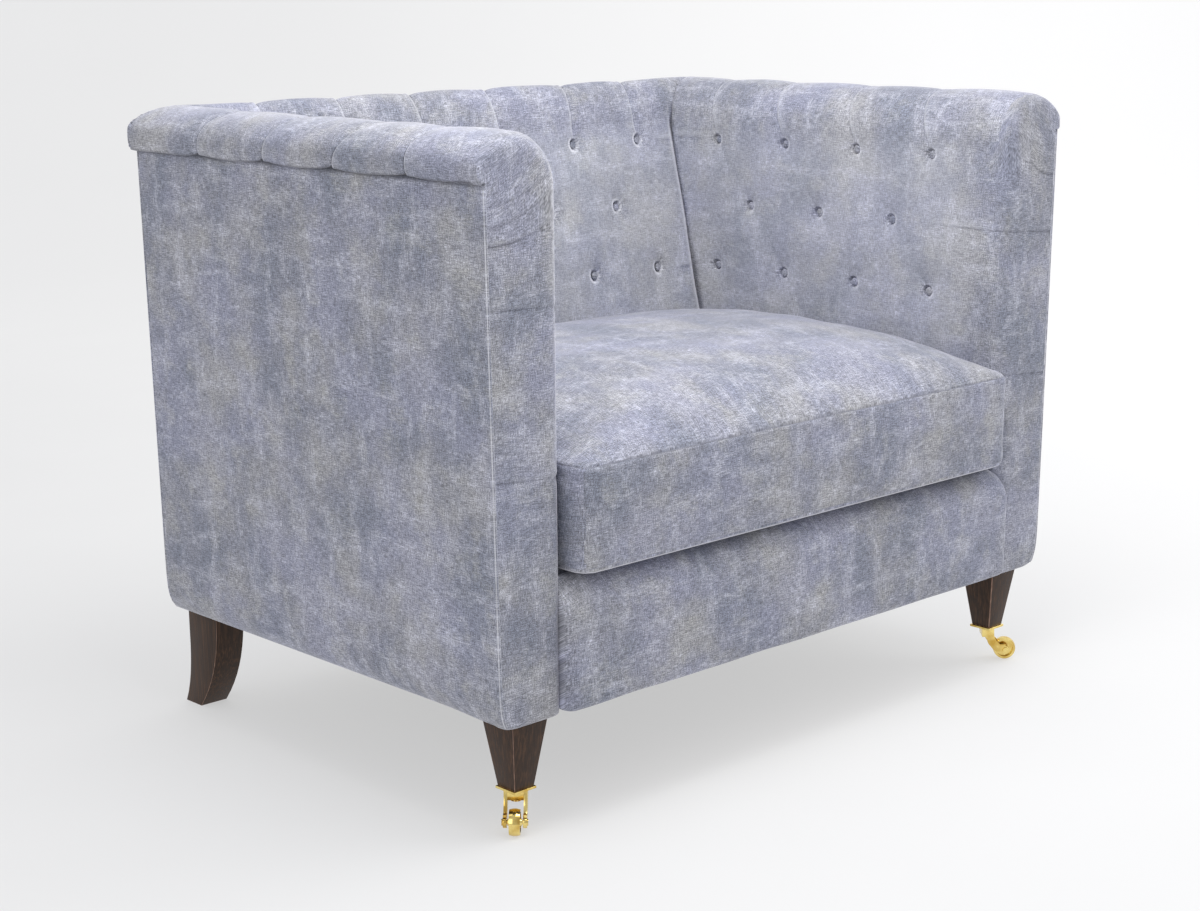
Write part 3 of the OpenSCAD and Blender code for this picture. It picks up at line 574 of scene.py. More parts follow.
def roll_pleats(u, v, spots, leans, top):
    """Pleats from the top buttons over the roll to the seam, with a puffed length between."""
    t = roll_share(v, top)
    strength = blend(0.02, 0.14, t)*(1 - 0.3*blend(0.9, 1.0, t))
    # Past the crest the cloth is pulled tight to its seam, so there the pleats are deeper and their painted
    # shade darker
    tight = blend(0.42, 0.6, t)
    total = np.zeros((2, len(u)))
    for away in from_pleats(u, t, spots, leans):
        total = total + strength*crease(-away, 1.7 + 1.1*tight, 1.3, 1.3, 0.15 + 0.7*tight)
    on_roll = blend(SHOULDER_Z - 10, SHOULDER_Z + 60, v)
    total[0] += on_roll*(1.0 - 2.1*between_pleats(u, t, spots, leans))
    return total


def near_features(u, v, spots, leans, top, reach):
    """True close to buttons and pleats, where the mesh is made finer."""
    close = v > top - reach
    for row in range(3):
        for spot in spots[row]:
            close |= np.hypot(u - spot[0], v - spot[1]) < 1.4*reach
    for away in from_pleats(u, roll_share(v, top), spots, leans):
        close |= (np.abs(away) < 0.6*reach) & (v > ROW_Z[0])
    return close


DOWN_LENGTH = math.pi/2*(ROLL_X - CREST_X + CREST_Z - WIDEST_Z)/2
ROLL_TOP = SHOULDER_Z + UP_LENGTH + DOWN_LENGTH + WIDEST_Z - SEAM_Z
print("cloth from the floor level to the outer seam:", round(ROLL_TOP), "mm")

# %% [markdown]
# ## The arms
# One sewn cover goes over the front, the inner face and the roll. Its front edges are thick and
# round, its outer front edge is a straight seam, and the inner face meets the back in a deep
# crevice. The block behind the front is hollow, because the timber stands there.


# %% Arm covers
FRONT_R = 25.0
PLEAT_LEAN = {-1: (-2, -31, -17, -11), 1: (31, 28, 34, 28)}
# Depth of the dimples near their button and all round it, how strong the painted highlight is on the near
# lip, and the side of the painted shadow arc, 1 for +U
ARM_PIT, BACK_PIT = (7.0, 1.8, 0.25, 1), (9.5, 2.6, 0.75, -1)
ROLL_SAG = 1.1          # how far the roll hangs over its seam between two pleats
MITRE_LAP = 1.8         # how far the rolls of arms and back run into each other at their mitre
PANEL_LAP = 1.6         # how far the padding reaches into the thickness of the side panels
# How far the cloth is pulled in at its foot: at the outer front corners, along the sides and behind
FOOT_TUCK, SIDE_TUCK, REAR_TUCK = {-1: 7.0, 1: 13.0}, 12.0, 0.6
FOOT_ROUND = 13.0       # the height over which that draws in
FOOT_DROP = 6.0         # how far the padded front of an arm hangs below the rails
HOOK_X = INNER_X + 33   # the outer face of the padding behind the arm's front
FRONT_DEPTH = 40        # how deep the block at the arm's front is
HOOK_FROM, HOOK_LENGTH = 30, 680    # where the padding behind it starts, and how far it runs
CLEAR_Z = 525           # below it an arm's inner face may not swell towards the cushion


def foot_tuck(y, z, side):
    """How far the outer side is drawn in near the floor."""
    tuck = FOOT_TUCK[side] + (SIDE_TUCK - FOOT_TUCK[side])*blend(20, 120, y)
    return tuck*np.exp(-np.maximum(z - BASE_Z, 0)/FOOT_ROUND)


def arm_block(side):
    """The front block with its round edges, and the hooked block behind it up to the mitre."""
    def pull(co, inset):
        """Inwards from the inner face, down from the roll and up from the foot."""
        x, z = abs(co.x)/MM, co.z/MM
        near_foot, on_roll = (BASE_Z + 20 - z)/20, (z - SEAM_Z)/40
        co.x += side*inset*min(1.0, max(0.0, (PANEL_X - x)/90))
        co.z += inset*(0.12*min(1.0, max(0.0, near_foot)) - 0.56*min(1.0, max(0.0, on_roll)))

    roll = roll_outline(INNER_X, CREST_X, ROLL_X, SEAM_X)
    front = [(INNER_X, BASE_Z)] + roll + [(SEAM_X - PANEL_LAP, SEAM_Z), (PANEL_X - PANEL_LAP, BASE_Z)]
    hook = [(INNER_X, LEVEL_FOOT)] + roll + [(HOOK_X, SEAM_Z), (HOOK_X, LEVEL_FOOT)]
    bm = bmesh.new()
    rim = add_prism(bm, [(side*x, FRONT_DEPTH, z) for x, z in front], (0, -1, 0), FRONT_DEPTH - FRONT_R)
    draw_round(bm, rim, (0, -1, 0), FRONT_R, pull)
    behind = bmesh.new()
    add_prism(behind, [(side*x, HOOK_FROM, z) for x, z in hook], (0, 1, 0), HOOK_LENGTH)
    cut_mitre(behind, side, -MITRE_LAP, -side)
    join_into(bm, behind)
    return bm


def round_front(x, y):
    """The length of cloth from the inner face's line y = 0 round to a point of the front."""
    return y - (x - INNER_X)*(1 - blend(0, 30, y))


def arm_places(p):
    """Distance from the middle, depth, height and V over the roll of each point of an arm."""
    x, y, z = np.abs(p[:, 0]), p[:, 1], p[:, 2]
    return x, y, z, over_roll(z, x, INNER_X, CREST_X, ROLL_X)


def arm_chart(p, n):
    """U runs from the outer front seam round to the inner face, V up and over the roll."""
    x, y, z, v = arm_places(p)
    flat_on = (n[:, 1] < -0.4) | (z < SHOULDER_Z)
    # At the top of the front the cloth is drawn towards the outer corner, so its weave slants
    slant = 0.5*(SEAM_X - x)*blend(680, 770, z)*(1 - blend(0, 30, y))
    return np.stack([np.where(flat_on, round_front(x, y), y), np.where(flat_on, z - slant, v)], axis=1)


# Pleats on the front. Sideways they start at the row's foremost button and are 10 mm past the
# corner at the first height, and at the outer seam at the second.
FRONT_PLEATS = {-1: ((1, 614, 620), (3, 420, 429)), 1: ((1, 624, 617), (3, 425, 418))}
# The fan at the top of the front, from (u, z) to (u, z), with a strength
FAN = {-1: (((-30, 756), (-106, 732), 0.4), ((-27, 737), (-110, 708), 0.45), ((-20, 709), (-112, 689), 0.85)),
       1: (((-40, 750), (-108, 738), 0.35), ((-59, 714), (-118, 697), 0.7))}


def front_creases(x, y, z, side):
    """Distance to each pleat of the front, and its strength there."""
    u = round_front(x, y)
    before_seam = x < SEAM_X
    for row, height, end in FRONT_PLEATS[side]:
        start = ARM_SPOTS[row][0]
        t = np.clip((start[0] - u)/(start[0] + 10), 0, 1)
        path = start[1] + (height - start[1])*t + (end - height)*np.clip((-10 - u)/106, 0, 1)
        yield z - path, 0.65*blend(0.1, 0.8, t)*blend(start[0], start[0] - 20, u)*before_seam
    for (u0, v0), (u1, v1), strength in FAN[side]:
        bend = 6*np.sin(np.clip((u - u1)/(u0 - u1), 0, 1)*math.pi)
        away = z - v0 - (v1 - v0)/(u1 - u0)*(u - u0) + bend
        yield away, strength*blend(u0 + 40, u0 - 6, u)*(1 - blend(10, 45, y))*before_seam


def arm_relief(p, side, seed):
    """Depth of every point of an arm below its smooth skin, and its painted light and shade."""
    x, y, z, v = arm_places(p)
    facing_in = np.clip(blend(470, 440, x) + blend(SHOULDER_Z, SHOULDER_Z + 15, z), 0, 1)
    total = tufting(y, v, ARM_SPOTS, seed, *ARM_PIT)*(facing_in*blend(8, 30, y))
    total = total + (roll_pleats(y, v, ARM_SPOTS, PLEAT_LEAN[side], ROLL_TOP)
                     * blend(20, 60, y)*blend(SEAM_Z - 60, SHOULDER_Z - 20, z))
    # Front creases with painted highlights and painted shade, darker towards the outer seam
    for away, strength in front_creases(x, y, z, side):
        total = total + strength*crease(away, 1.7, 0.8, 1.0, 0.12 + 0.4*blend(-50, -80, round_front(x, y)))
    # The crevice at the back with painted shade in it, and its gathers beside the last buttons
    to_back = np.maximum(back_y(np.minimum(z, SHOULDER_Z)) - y, 0)
    inside = (1 - blend(SHOULDER_Z - 15, SHOULDER_Z + 40, z))*blend(450, 430, x)
    total = total + np.stack([2.0*np.exp(-to_back/4), -0.7*np.exp(-to_back/3)])*inside
    for row in (0, 2):
        last = ARM_SPOTS[row][-1]
        gather = crease(z - last[1], 1.5, 0.5, 0.7, 0.3)
        total = total + gather*blend(last[0] + 15, last[0] + 60, y)*blend(0, 14, to_back)*inside
    # Painted shade on the seam under the roll, and painted light on the inner face
    total[1] -= 0.75*bell(ROLL_TOP - 0.6 - v, 1.8)*(x > SEAM_X - 3)*blend(8, 20, y)
    total[1] += 0.32*facing_in*blend(-10, 110, y)*blend(SHOULDER_Z + 60, SHOULDER_Z - 40, z)
    total[0] += unevenness(round_front(x, y), v, 0.55, seed)*blend(4, 40, y)*blend(530, 560, z)
    total[0] -= 1.4*facing_in*blend(0, 70, y)*blend(540, 600, z)*blend(SHOULDER_Z + 40, SHOULDER_Z - 50, z)
    return total


def make_arm(name, side, seed, node):
    """An arm's cover, from its block through its finer mesh and its folds to its place."""
    def near_tufts(p):
        """True close to the arm's buttons and pleats, on the cover's outer skin only."""
        x, y, z, v = arm_places(p)
        on_cover = (x < INNER_X + 10) | (z > SEAM_Z)
        return near_features(y, v, ARM_SPOTS, PLEAT_LEAN[side], ROLL_TOP, reach) & on_cover

    def near_creases(p):
        """True close to the creases of the arm's front."""
        x, y, z, _ = arm_places(p)
        close = [(np.abs(away) < 0.6*reach)*strength for away, strength in front_creases(x, y, z, side)]
        return np.maximum.reduce(close) > 0.2

    arm = finish_object(name, arm_block(side), velvet)
    skin_over(arm, SKIN_VOXEL, 9, lambda p: (np.abs(p[:, 0]) > SHARP_X) & (p[:, 2] < SEAM_Z + SEAM_LAP))
    for reach in TUFT_REACHES:
        refine(arm, near_tufts)
        refine(arm, near_creases)
    cloth_uv(arm, arm_chart, (seed*0.37, seed*0.21))
    p = points(arm)
    depth, painted_light = arm_relief(p, side, seed)
    set_painted_light(arm, painted_light)
    moved = p - normals(arm)*depth[:, None]
    x, y, z, v = arm_places(p)
    puffed = between_pleats(y, roll_share(v, ROLL_TOP), ARM_SPOTS, PLEAT_LEAN[side])
    moved[:, 2] -= (ROLL_SAG*puffed*blend(CREST_X, ROLL_X - 4, x)*blend(WIDEST_Z + 10, SEAM_Z, z)
                    * blend(ARM_FIRST - 10, ARM_FIRST + 10, y))
    near_floor = 1 - blend(BASE_Z + 2, BASE_Z + 45, z)
    moved[:, 2] -= FOOT_DROP*blend(SEAM_X, SEAM_X - 32, x)*(1 - blend(12, 36, y))*near_floor
    across = np.abs(moved[:, 0]) - foot_tuck(y, z, side)*blend(440, 505, x)
    moved[:, 0] = side*np.where(z < CLEAR_Z, np.maximum(across, INNER_X - 0.2), across)
    put_points(arm, moved)
    upholster(arm, node)


make_arm("left_arm_cover", -1, 1, "left_arm_pad")
make_arm("right_arm_cover", 1, 2, "right_arm_pad")

# %% [markdown]
# ## The inner back
# The same cloth again, between the arms. Its face leans back 13.4 degrees, its roll runs into
# both arms' rolls in a mitre, and its sides turn in where they meet the arms.


# %% Back cover
BACK_HALF = 408.6       # the back's padding sinks this far into the arms, so no gap shows
PAD_T = 28.0            # thickness of the padding below the roll
PAD_TOP = 713           # where that padding widens to the timber's back
CROWN_HALF, BAR_HALF = 529.6, 424    # half the widths of the crown and of the bar below it
CORE_SCALE, CORE_LAP = 0.91, 13.0    # the core's size against the crown, and how much further it runs


def back_block():
    """The back's padding, its crown between the mitres, and a bar behind the corner of the rolls."""
    def add_bar(bm, half, section):
        """A prism across the chair over (y, z) points, as far to each side."""
        add_prism(bm, [(-half, y, z) for y, z in section], (1, 0, 0), 2*half)

    bm = bmesh.new()
    roll = roll_outline(SHOULDER_Y, BACK_CREST_Y, BACK_ROLL_Y, BODY_D)
    foot_y = back_y(LEVEL_FOOT)
    behind = [(TIMBER_BACK, SEAM_Z), (TIMBER_BACK, PAD_TOP), (back_y(PAD_TOP) + PAD_T, PAD_TOP)]
    add_bar(bm, BACK_HALF, [(foot_y, LEVEL_FOOT)] + roll + behind + [(foot_y + PAD_T, LEVEL_FOOT)])
    wedge = roll + [(TIMBER_BACK, SEAM_Z), (TIMBER_BACK, SHOULDER_Z), (SHOULDER_Y + 2, SHOULDER_Z)]
    # The crown up to its mitres, and a smaller core that runs on and closes them from within
    for scale, lap in ((1.0, MITRE_LAP), (CORE_SCALE, CORE_LAP)):
        crown = bmesh.new()
        add_bar(crown, CROWN_HALF, [(BACK_CREST_Y + (y - BACK_CREST_Y)*scale,
                                     SHOULDER_Z + (z - SHOULDER_Z)*scale) for y, z in wedge])
        for side in (-1, 1):
            cut_mitre(crown, side, lap, side)
        join_into(bm, crown)
    # Below the shoulder a bar runs on into both arms, so that nothing shows through the corner
    bar = bmesh.new()
    near, far, floor, top = SHOULDER_Y + 3, SHOULDER_Y + 26, SHOULDER_Z - 32, SHOULDER_Z + 5
    add_bar(bar, BAR_HALF, [(near, floor), (near, top), (far, top), (far, floor)])
    join_into(bm, bar)
    return bm


def back_chart(p, n=None):
    """U runs across the back, V up its front and over the roll."""
    v = over_roll(p[:, 2], p[:, 1], SHOULDER_Y, BACK_CREST_Y, BACK_ROLL_Y)
    behind = (p[:, 2] < SHOULDER_Z) & (p[:, 1] < SHOULDER_Y)
    return np.stack([p[:, 0], np.where(behind, p[:, 2], v)], axis=1)


BACK_ARC = math.pi/4*(BACK_ROLL_Y - SHOULDER_Y + 2*CREST_Z - SHOULDER_Z - WIDEST_Z)
BACK_TOP = SHOULDER_Z + BACK_ARC + WIDEST_Z - SEAM_Z
BACK_LEAN = (-14, -17, -24, -19, -3, -14)


def back_relief(p, seed):
    """Depth of every point of the back below its smooth skin, and its painted light and shade."""
    x, y, z = p.T
    u, v = back_chart(p).T
    front = blend(30, 15, y - back_y(np.minimum(z, SHOULDER_Z)))
    shown = np.clip(front + blend(SHOULDER_Z, SHOULDER_Z + 15, z), 0, 1)
    total = tufting(u, v, BACK_SPOTS, seed, *BACK_PIT)*shown
    total = total + roll_pleats(u, v, BACK_SPOTS, BACK_LEAN, BACK_TOP)*shown
    # Its sides turn in at the arms, with a painted highlight beside painted shade in the crevice, and gathers
    # beside the last buttons
    edge = np.maximum(INNER_X - np.abs(x), 0)
    inside = (1 - blend(SHOULDER_Z - 15, SHOULDER_Z + 40, z))*front
    total = total + np.stack([2.4*np.exp(-edge/4), 0.6*bell(edge - 5, 2.4) - 0.8*bell(edge, 2.2)])*inside
    for row in (0, 2):
        last = BACK_SPOTS[row][-1]
        gather = crease(z - last[1] + 4, 1.5, 0.5, 0.7, 0.25)
        total = total + gather*blend(last[0] + 20, last[0] + 60, np.abs(x))*blend(0, 14, edge)*inside
    # Painted light on the inner back
    total[1] += 0.32*shown*blend(SHOULDER_Z + 60, SHOULDER_Z - 40, z)
    total[0] += unevenness(u, v, 0.6, seed)*shown
    total[0] -= 1.4*front*blend(540, 600, z)*blend(SHOULDER_Z + 40, SHOULDER_Z - 50, z)
    return total


def near_back_tufts(p):
    """True close to the back's buttons and pleats, on the cover's outer skin only."""
    skin = p[:, 1] - back_y(np.minimum(p[:, 2], SHOULDER_Z)) < np.where(p[:, 2] > SEAM_Z, 200, 12)
    return near_features(*back_chart(p).T, BACK_SPOTS, BACK_LEAN, BACK_TOP, reach) & skin


back = finish_object("back_cover", back_block(), velvet)
skin_over(back, SKIN_VOXEL, 9, lambda p: (p[:, 1] > SHARP_Y) & (p[:, 2] < SEAM_Z + SEAM_LAP))
for reach in TUFT_REACHES:
    refine(back, near_back_tufts)
cloth_uv(back, back_chart, (1.9, 0.8))
p = points(back)
depth, painted_light = back_relief(p, 3)
put_points(back, p - normals(back)*depth[:, None])
set_painted_light(back, painted_light)
upholster(back, "inner_back_pad")

# %% [markdown]
# ## Outside panels
# Under the rolls the sides are closed with single panels of velvet, stretched over card and
# slip-stitched along their edges. They are nearly flat: a grid with a slight swell, given four
# millimetres of thickness and a small round at the edges, which with a painted highlight at the front shows
# the seam as a fine line.


# %% Outside panels
SIDE_WIDTH, REAR_WIDTH = 678, 1040
SIDE_TOP, REAR_TOP = SEAM_Z + 1.5, SEAM_Z - 0.5
SIDE_T, REAR_T = 4.5, 3.6       # how thick the panels are
SIDE_START, SIDE_END = -0.4, 677.6    # the side panels' front and rear ends
PANEL_STEP = 9          # size of the squares of a panel's grid
RIM_R = 1.3             # radius of a panel's edges


def panel(name, place_at, width, high, thickness, node, seed, offset):
    """A thin panel. place_at(u, z, out) gives a point for the distance along and the height."""
    bm = bmesh.new()
    rise = high - BASE_Z
    bmesh.ops.create_grid(bm, size=0.5, x_segments=round(width/PANEL_STEP),
                          y_segments=round(rise/PANEL_STEP))
    grid = np.array([(v.co.x + 0.5, v.co.y + 0.5) for v in bm.verts])*(width, rise)
    u, z = grid[:, 0], grid[:, 1] + BASE_Z
    rim = np.minimum.reduce([u, width - u, z - BASE_Z, high - z])
    swell = 0.9*(1 - np.exp(-rim/60)) + unevenness(u, z, 0.45, seed)*(1 - np.exp(-rim/25))
    for v, a, b, c in zip(bm.verts, u, z, swell):
        v.co = Vector(place_at(a, b, c))*MM
    piece = finish_object(name, bm, velvet)
    outward = Vector(place_at(0, BASE_Z, 1)) - Vector(place_at(0, BASE_Z, 0))
    thicken(piece, thickness, -1 if piece.data.polygons[0].normal.dot(outward) > 0 else 1)
    rounding = piece.modifiers.new("round_rim", "BEVEL")
    rounding.width = RIM_R*MM
    rounding.segments = 3
    rounding.limit_method = "ANGLE"
    rounding.angle_limit = math.radians(60)
    bake(piece)
    cloth_uv(piece, round_chart, offset)
    # A painted highlight runs along the turned edge at the front, and painted shade along the upper edge
    n = normals(piece)
    _, y, z = points(piece).T
    turned = blend(0.15, 0.4, np.abs(n[:, 0])*-n[:, 1])*(y < 3)*(z < SEAM_Z - 3)
    set_painted_light(piece, (0.68 + 0.1*np.sin(z/17))*turned - 0.8*blend(SEAM_Z - 2.5, SEAM_Z, z))
    upholster(piece, node)


def round_chart(p, n):
    """U runs round the outside of the chair and V up."""
    return np.stack([p[:, 0] + p[:, 1], p[:, 2]], axis=1)


def panel_x(z):
    """The side panel leans out towards the seam under the roll."""
    return PANEL_X + (SEAM_X - PANEL_X)*(z - BASE_Z)/(SEAM_Z - BASE_Z)


def left_place(u, z, out):
    """A point of the left panel, whose U starts at the rear."""
    y = SIDE_END - u
    return -(panel_x(z) + out - foot_tuck(y, z, -1)), y, z


def right_place(u, z, out):
    """A point of the right panel, whose U starts at the front."""
    y = u + SIDE_START
    return panel_x(z) + out - foot_tuck(y, z, 1), y, z


def rear_place(u, z, out):
    """A point of the rear panel, whose U starts at the right."""
    drawn_in = math.exp((BASE_Z - z)/FOOT_ROUND)
    across = panel_x(z) - 0.5 - SIDE_TUCK*drawn_in
    return (1 - 2*u/REAR_WIDTH)*across, BODY_D + out - REAR_TUCK*drawn_in, z


panel("left_side_panel", left_place, SIDE_WIDTH, SIDE_TOP, SIDE_T, "left_outside_panel", 11, (0.3, 3.1))
panel("right_side_panel", right_place, SIDE_WIDTH, SIDE_TOP, SIDE_T, "right_outside_panel", 12, (1.4, 2.2))
panel("rear_panel", rear_place, REAR_WIDTH, REAR_TOP, REAR_T, "outside_back_panel", 13, (2.3, 1.2))

# %% [markdown]
# ## The border below the seat
# A padded bull nose stands in front of the seat rail: flat below, and rolled back over its top
# into the seat. Its ends lap the arms a little and turn back in plan until they touch them.

# %% Front border
BORDER_X, BORDER_FRONT, BORDER_BACK, BORDER_TOP = 416.0, -17.0, 28.0, 300.0
BORDER_HALF = 412.0     # its middle part reaches into the round edges of the arms
BORDER_RISE = 158.0     # from its foot to its top
BORDER_LAP = 8.0        # how deep the part is that stands before the arms
NOSE_R, FOOT_R, END_R = 44.1, 10.0, 15.7


def border_section(back):
    """Points (y, z) of the bull nose, from its foot over the nose and down at a depth."""
    foot = [(BORDER_FRONT + FOOT_R - FOOT_R*math.sin(a), BASE_Z + FOOT_R - FOOT_R*math.cos(a))
            for a in (math.radians(18*k) for k in range(6))]
    nose = [(BORDER_FRONT + NOSE_R - NOSE_R*math.cos(a), BORDER_TOP - NOSE_R + NOSE_R*math.sin(a))
            for a in (math.radians(9*k) for k in range(11))]
    kept = [(y, z) for y, z in foot + nose if y < back]
    return kept + [(back, kept[-1][1]), (back, BASE_Z)]


def border_block():
    """The roll between the arms, and the part before them whose ends turn back."""
    def pull(co, inset):
        """Backwards, most at the front."""
        co.y += inset*min(1.0, (BORDER_LAP - co.y/MM)/(BORDER_LAP - BORDER_FRONT))

    bm = bmesh.new()
    add_prism(bm, [(-BORDER_HALF, y, z) for y, z in border_section(BORDER_BACK)], (1, 0, 0), 2*BORDER_HALF)
    section = border_section(BORDER_LAP)
    for side in (-1, 1):
        end = add_prism(bm, [(0, y, z) for y, z in section], (side, 0, 0), BORDER_X - END_R)
        draw_round(bm, end, (side, 0, 0), END_R, pull)
    return bm


def border_chart(p, n):
    """U runs across and V up and back over the nose."""
    return np.stack([p[:, 0], p[:, 2] + (p[:, 1] - BORDER_FRONT)*0.6], axis=1)


border = finish_object("seat_border", border_block(), velvet)
skin_over(border, SKIN_VOXEL, 8)
cloth_uv(border, border_chart, (3.3, 0.4))
p = points(border)
x, y, z = p.T
swell = 1.5*(1 - np.abs(x/BORDER_X)**4)*np.sin(np.clip((z - BASE_Z)/BORDER_RISE, 0, 1)*math.pi)
swell = (swell + unevenness(x, z*0.6, 0.45, 21))*blend(20, 0, y)
moved = p + normals(border)*swell[:, None]
# Its upper ends are pulled down beside the arms
moved[:, 2] -= 9*blend(386, 418, np.abs(x))*blend(250, 290, z)*blend(30, 10, y)
put_points(border, moved)
upholster(border, "front_border")

# %% [markdown]
# ## The seat cushion
# A loose box cushion: a crowned top panel and a flat lower one, joined by a straight border.
# It starts as a slightly small box with its crown drawn up. Blender's cloth solver then inflates
# it, held near both seam loops, which gives the taut crown and the soft wrinkles beside the
# seams. Seam lines are pressed in afterwards, because a remesh would remove them.

# %% Cushion form
SEAM_LOW, SEAM_HIGH = 311.1, 430.1
LOWER_EDGE = 306.0      # the pale line where the cushion's border turns under
CUSHION_X, CUSHION_FRONT = 403.2, -24.5
CUSHION_FOOT = 303.5    # its lower face
CROWN = 84.0*0.93       # how high the top panel stands before it is inflated
CUSHION_VOXEL = 7.0     # a coarser grid, which the cloth solver pulls at


def cushion_back(z):
    """The cushion ends just before the inner back."""
    return back_y(z) - 2.2


def cushion_shares(p):
    """How far a point lies from the middle to the edges, -1 to 1 each way."""
    back_at = cushion_back(p[:, 2])
    middle = (back_at + CUSHION_FRONT)/2
    return p[:, 0]/CUSHION_X, (p[:, 1] - middle)/((back_at - CUSHION_FRONT)/2)


def crown_at(sx, sy):
    """Height of the top panel over its seam, as a share of the crown."""
    across, along = np.clip(1 - np.abs(sx)**3.2, 0, 1), np.clip(1 - np.abs(sy)**2.7, 0, 1)
    return across**0.62*along**0.60


def cushion_box():
    """A box with rounded upright edges, and smaller rounds along its foot."""
    bm = bmesh.new()
    bmesh.ops.create_cube(bm, size=1)
    for v in bm.verts:
        z = SEAM_HIGH if v.co.z > 0 else CUSHION_FOOT
        y = cushion_back(z) if v.co.y > 0 else CUSHION_FRONT
        v.co = Vector((math.copysign(CUSHION_X - 1.5, v.co.x), y, z))*MM
    upright = [e for e in bm.edges if abs(e.verts[0].co.z - e.verts[1].co.z) > 0.1]
    round_edges(bm, upright, 20, 5)
    lower = [e for e in bm.edges if all(v.co.z < (CUSHION_FOOT + 1)*MM for v in e.verts)]
    round_edges(bm, lower, 7, 3)
    return bm


cushion = finish_object("cushion", cushion_box(), velvet)
skin_over(cushion, CUSHION_VOXEL, 2)
p = points(cushion)
p[:, 2] += CROWN*crown_at(*cushion_shares(p))*blend(SEAM_HIGH - 40, SEAM_HIGH - 3, p[:, 2])
put_points(cushion, p)
print("cushion before the cloth:", len(p), "points")


# %% Cushion cloth
PRESSURE, FRAMES = 4.0, 20  # the solver's air pressure and its number of steps
MOST_SWELL = 9          # millimetres that a point may move
HOLD_REACH = 9          # how far from its loop a seam is held


def inflate(piece, pressure, frames, hold, cap_mm):
    """Runs the cloth solver on a piece. hold(points) is 1 where it is pinned."""
    start = points(piece)
    weigh(piece, "pin", hold(start))
    cloth = piece.modifiers.new("cloth", "CLOTH")
    settings = cloth.settings
    settings.vertex_group_mass = "pin"
    settings.use_pressure = True
    settings.uniform_pressure_force = pressure
    settings.effector_weights.gravity = 0
    settings.quality = 4
    settings.tension_stiffness = settings.compression_stiffness = 20
    settings.bending_stiffness = 0.8
    cloth.collision_settings.use_collision = False
    cloth.point_cache.frame_start, cloth.point_cache.frame_end = 1, frames
    for frame_number in range(1, frames + 1):
        bpy.context.scene.frame_set(frame_number)
    bake(piece)
    bpy.context.scene.frame_set(1)
    moved = points(piece) - start
    length = np.linalg.norm(moved, axis=1)
    share = np.minimum(1, cap_mm/np.maximum(length, 1e-6))
    put_points(piece, start + moved*share[:, None])
    piece.vertex_groups.clear()
    print(piece.name, "swelled by up to", round(float(length.max()), 1), "mm, kept", cap_mm)


def seam_hold(p):
    """1 on both seam loops, and less away from them."""
    return np.maximum(bell(p[:, 2] - SEAM_LOW, HOLD_REACH), bell(p[:, 2] - SEAM_HIGH, HOLD_REACH))


inflate(cushion, PRESSURE, FRAMES, seam_hold, MOST_SWELL)
print("cushion held at", SEAM_LOW, "and", SEAM_HIGH, "mm")

# %% [markdown]
# ## The cushion's seams
# The finer mesh beside the seams lets the thread press its line in. Just inside the upper seam
# the panel is puckered, painted shade darkens that seam, and a painted highlight marks where the border turns
# under below the lower one.


# %% Cushion seams
def near_seams(p):
    """True beside the upper seam and the lower edge of the cushion's border, where light and shade are
    painted.
    """
    beside = np.minimum(np.abs(p[:, 2] - SEAM_HIGH), np.abs(p[:, 2] - LOWER_EDGE)) < reach
    return beside & (np.max(np.abs(cushion_shares(p)), axis=0) > 0.9)


finer = cushion.modifiers.new("finer", "SUBSURF")
finer.levels = finer.render_levels = 1
bake(cushion)
for reach in (9, 5):
    refine(cushion, near_seams)
p, n = points(cushion), normals(cushion)
x, y, z = p.T
near_edge = blend(0.90, 0.985, np.max(np.abs(cushion_shares(p)), axis=0))
to_high = np.abs(z - SEAM_HIGH)
# Painted highlights just above the upper seam and at the lower edge, and painted shade on the upper seam
set_painted_light(cushion, near_edge*(
    0.16*bell(z - SEAM_HIGH - 3.4, 2) - 0.4*bell(to_high, 0.9) + bell(z - LOWER_EDGE, 1.5)))
at_low = 1.2*np.exp(-np.abs(z - SEAM_LOW)/2.4)
depth = (0.9*np.exp(-to_high/1.1) - 0.25*bell(to_high - 3.5, 2.5) + at_low)*near_edge
round_way = np.where(np.abs(n[:, 1]) > np.abs(n[:, 0]), x, y)
gather = 0.5 + 0.5*np.sin(round_way/7.3 + 2*np.sin(round_way/31) + 1.3*np.sin(round_way/17 + 1))
depth += 0.7*gather*bell(np.maximum(z - SEAM_HIGH - 8, 0), 18)*(z > SEAM_HIGH)*near_edge
depth -= unevenness(x, y + z, 0.8, 31)*blend(320, 340, z)
put_points(cushion, p - n*depth[:, None])


def cushion_chart(p, n):
    """The top panel, the lower panel and the border are three cloths."""
    x, y, z = p.T
    on_front = np.abs(n[:, 1]) > np.abs(n[:, 0])
    top, bottom = z > SEAM_HIGH, z < SEAM_LOW
    u = np.where(top, x, np.where(bottom, x + 1200, np.where(on_front, x, y + 900)))
    return np.stack([u, np.where(top | bottom, y, z + 700)], axis=1)


cloth_uv(cushion, cushion_chart, (4.4, 1.7))
upholster(cushion, "seat_cushion", "cushion")

# %% [markdown]
# ## Buttons
# Small covered buttons sit deep in their dimples, a row above another and half a step apart.
# Each is a low dome: a sphere pressed flat along the direction that it faces.


# %% Covered buttons
BUTTON_R, BUTTON_RISE = 5.8, 2.0
ARM_BUTTON_IN, BACK_BUTTON_IN = 5.4, 8.4    # how deep their middles lie in the padding


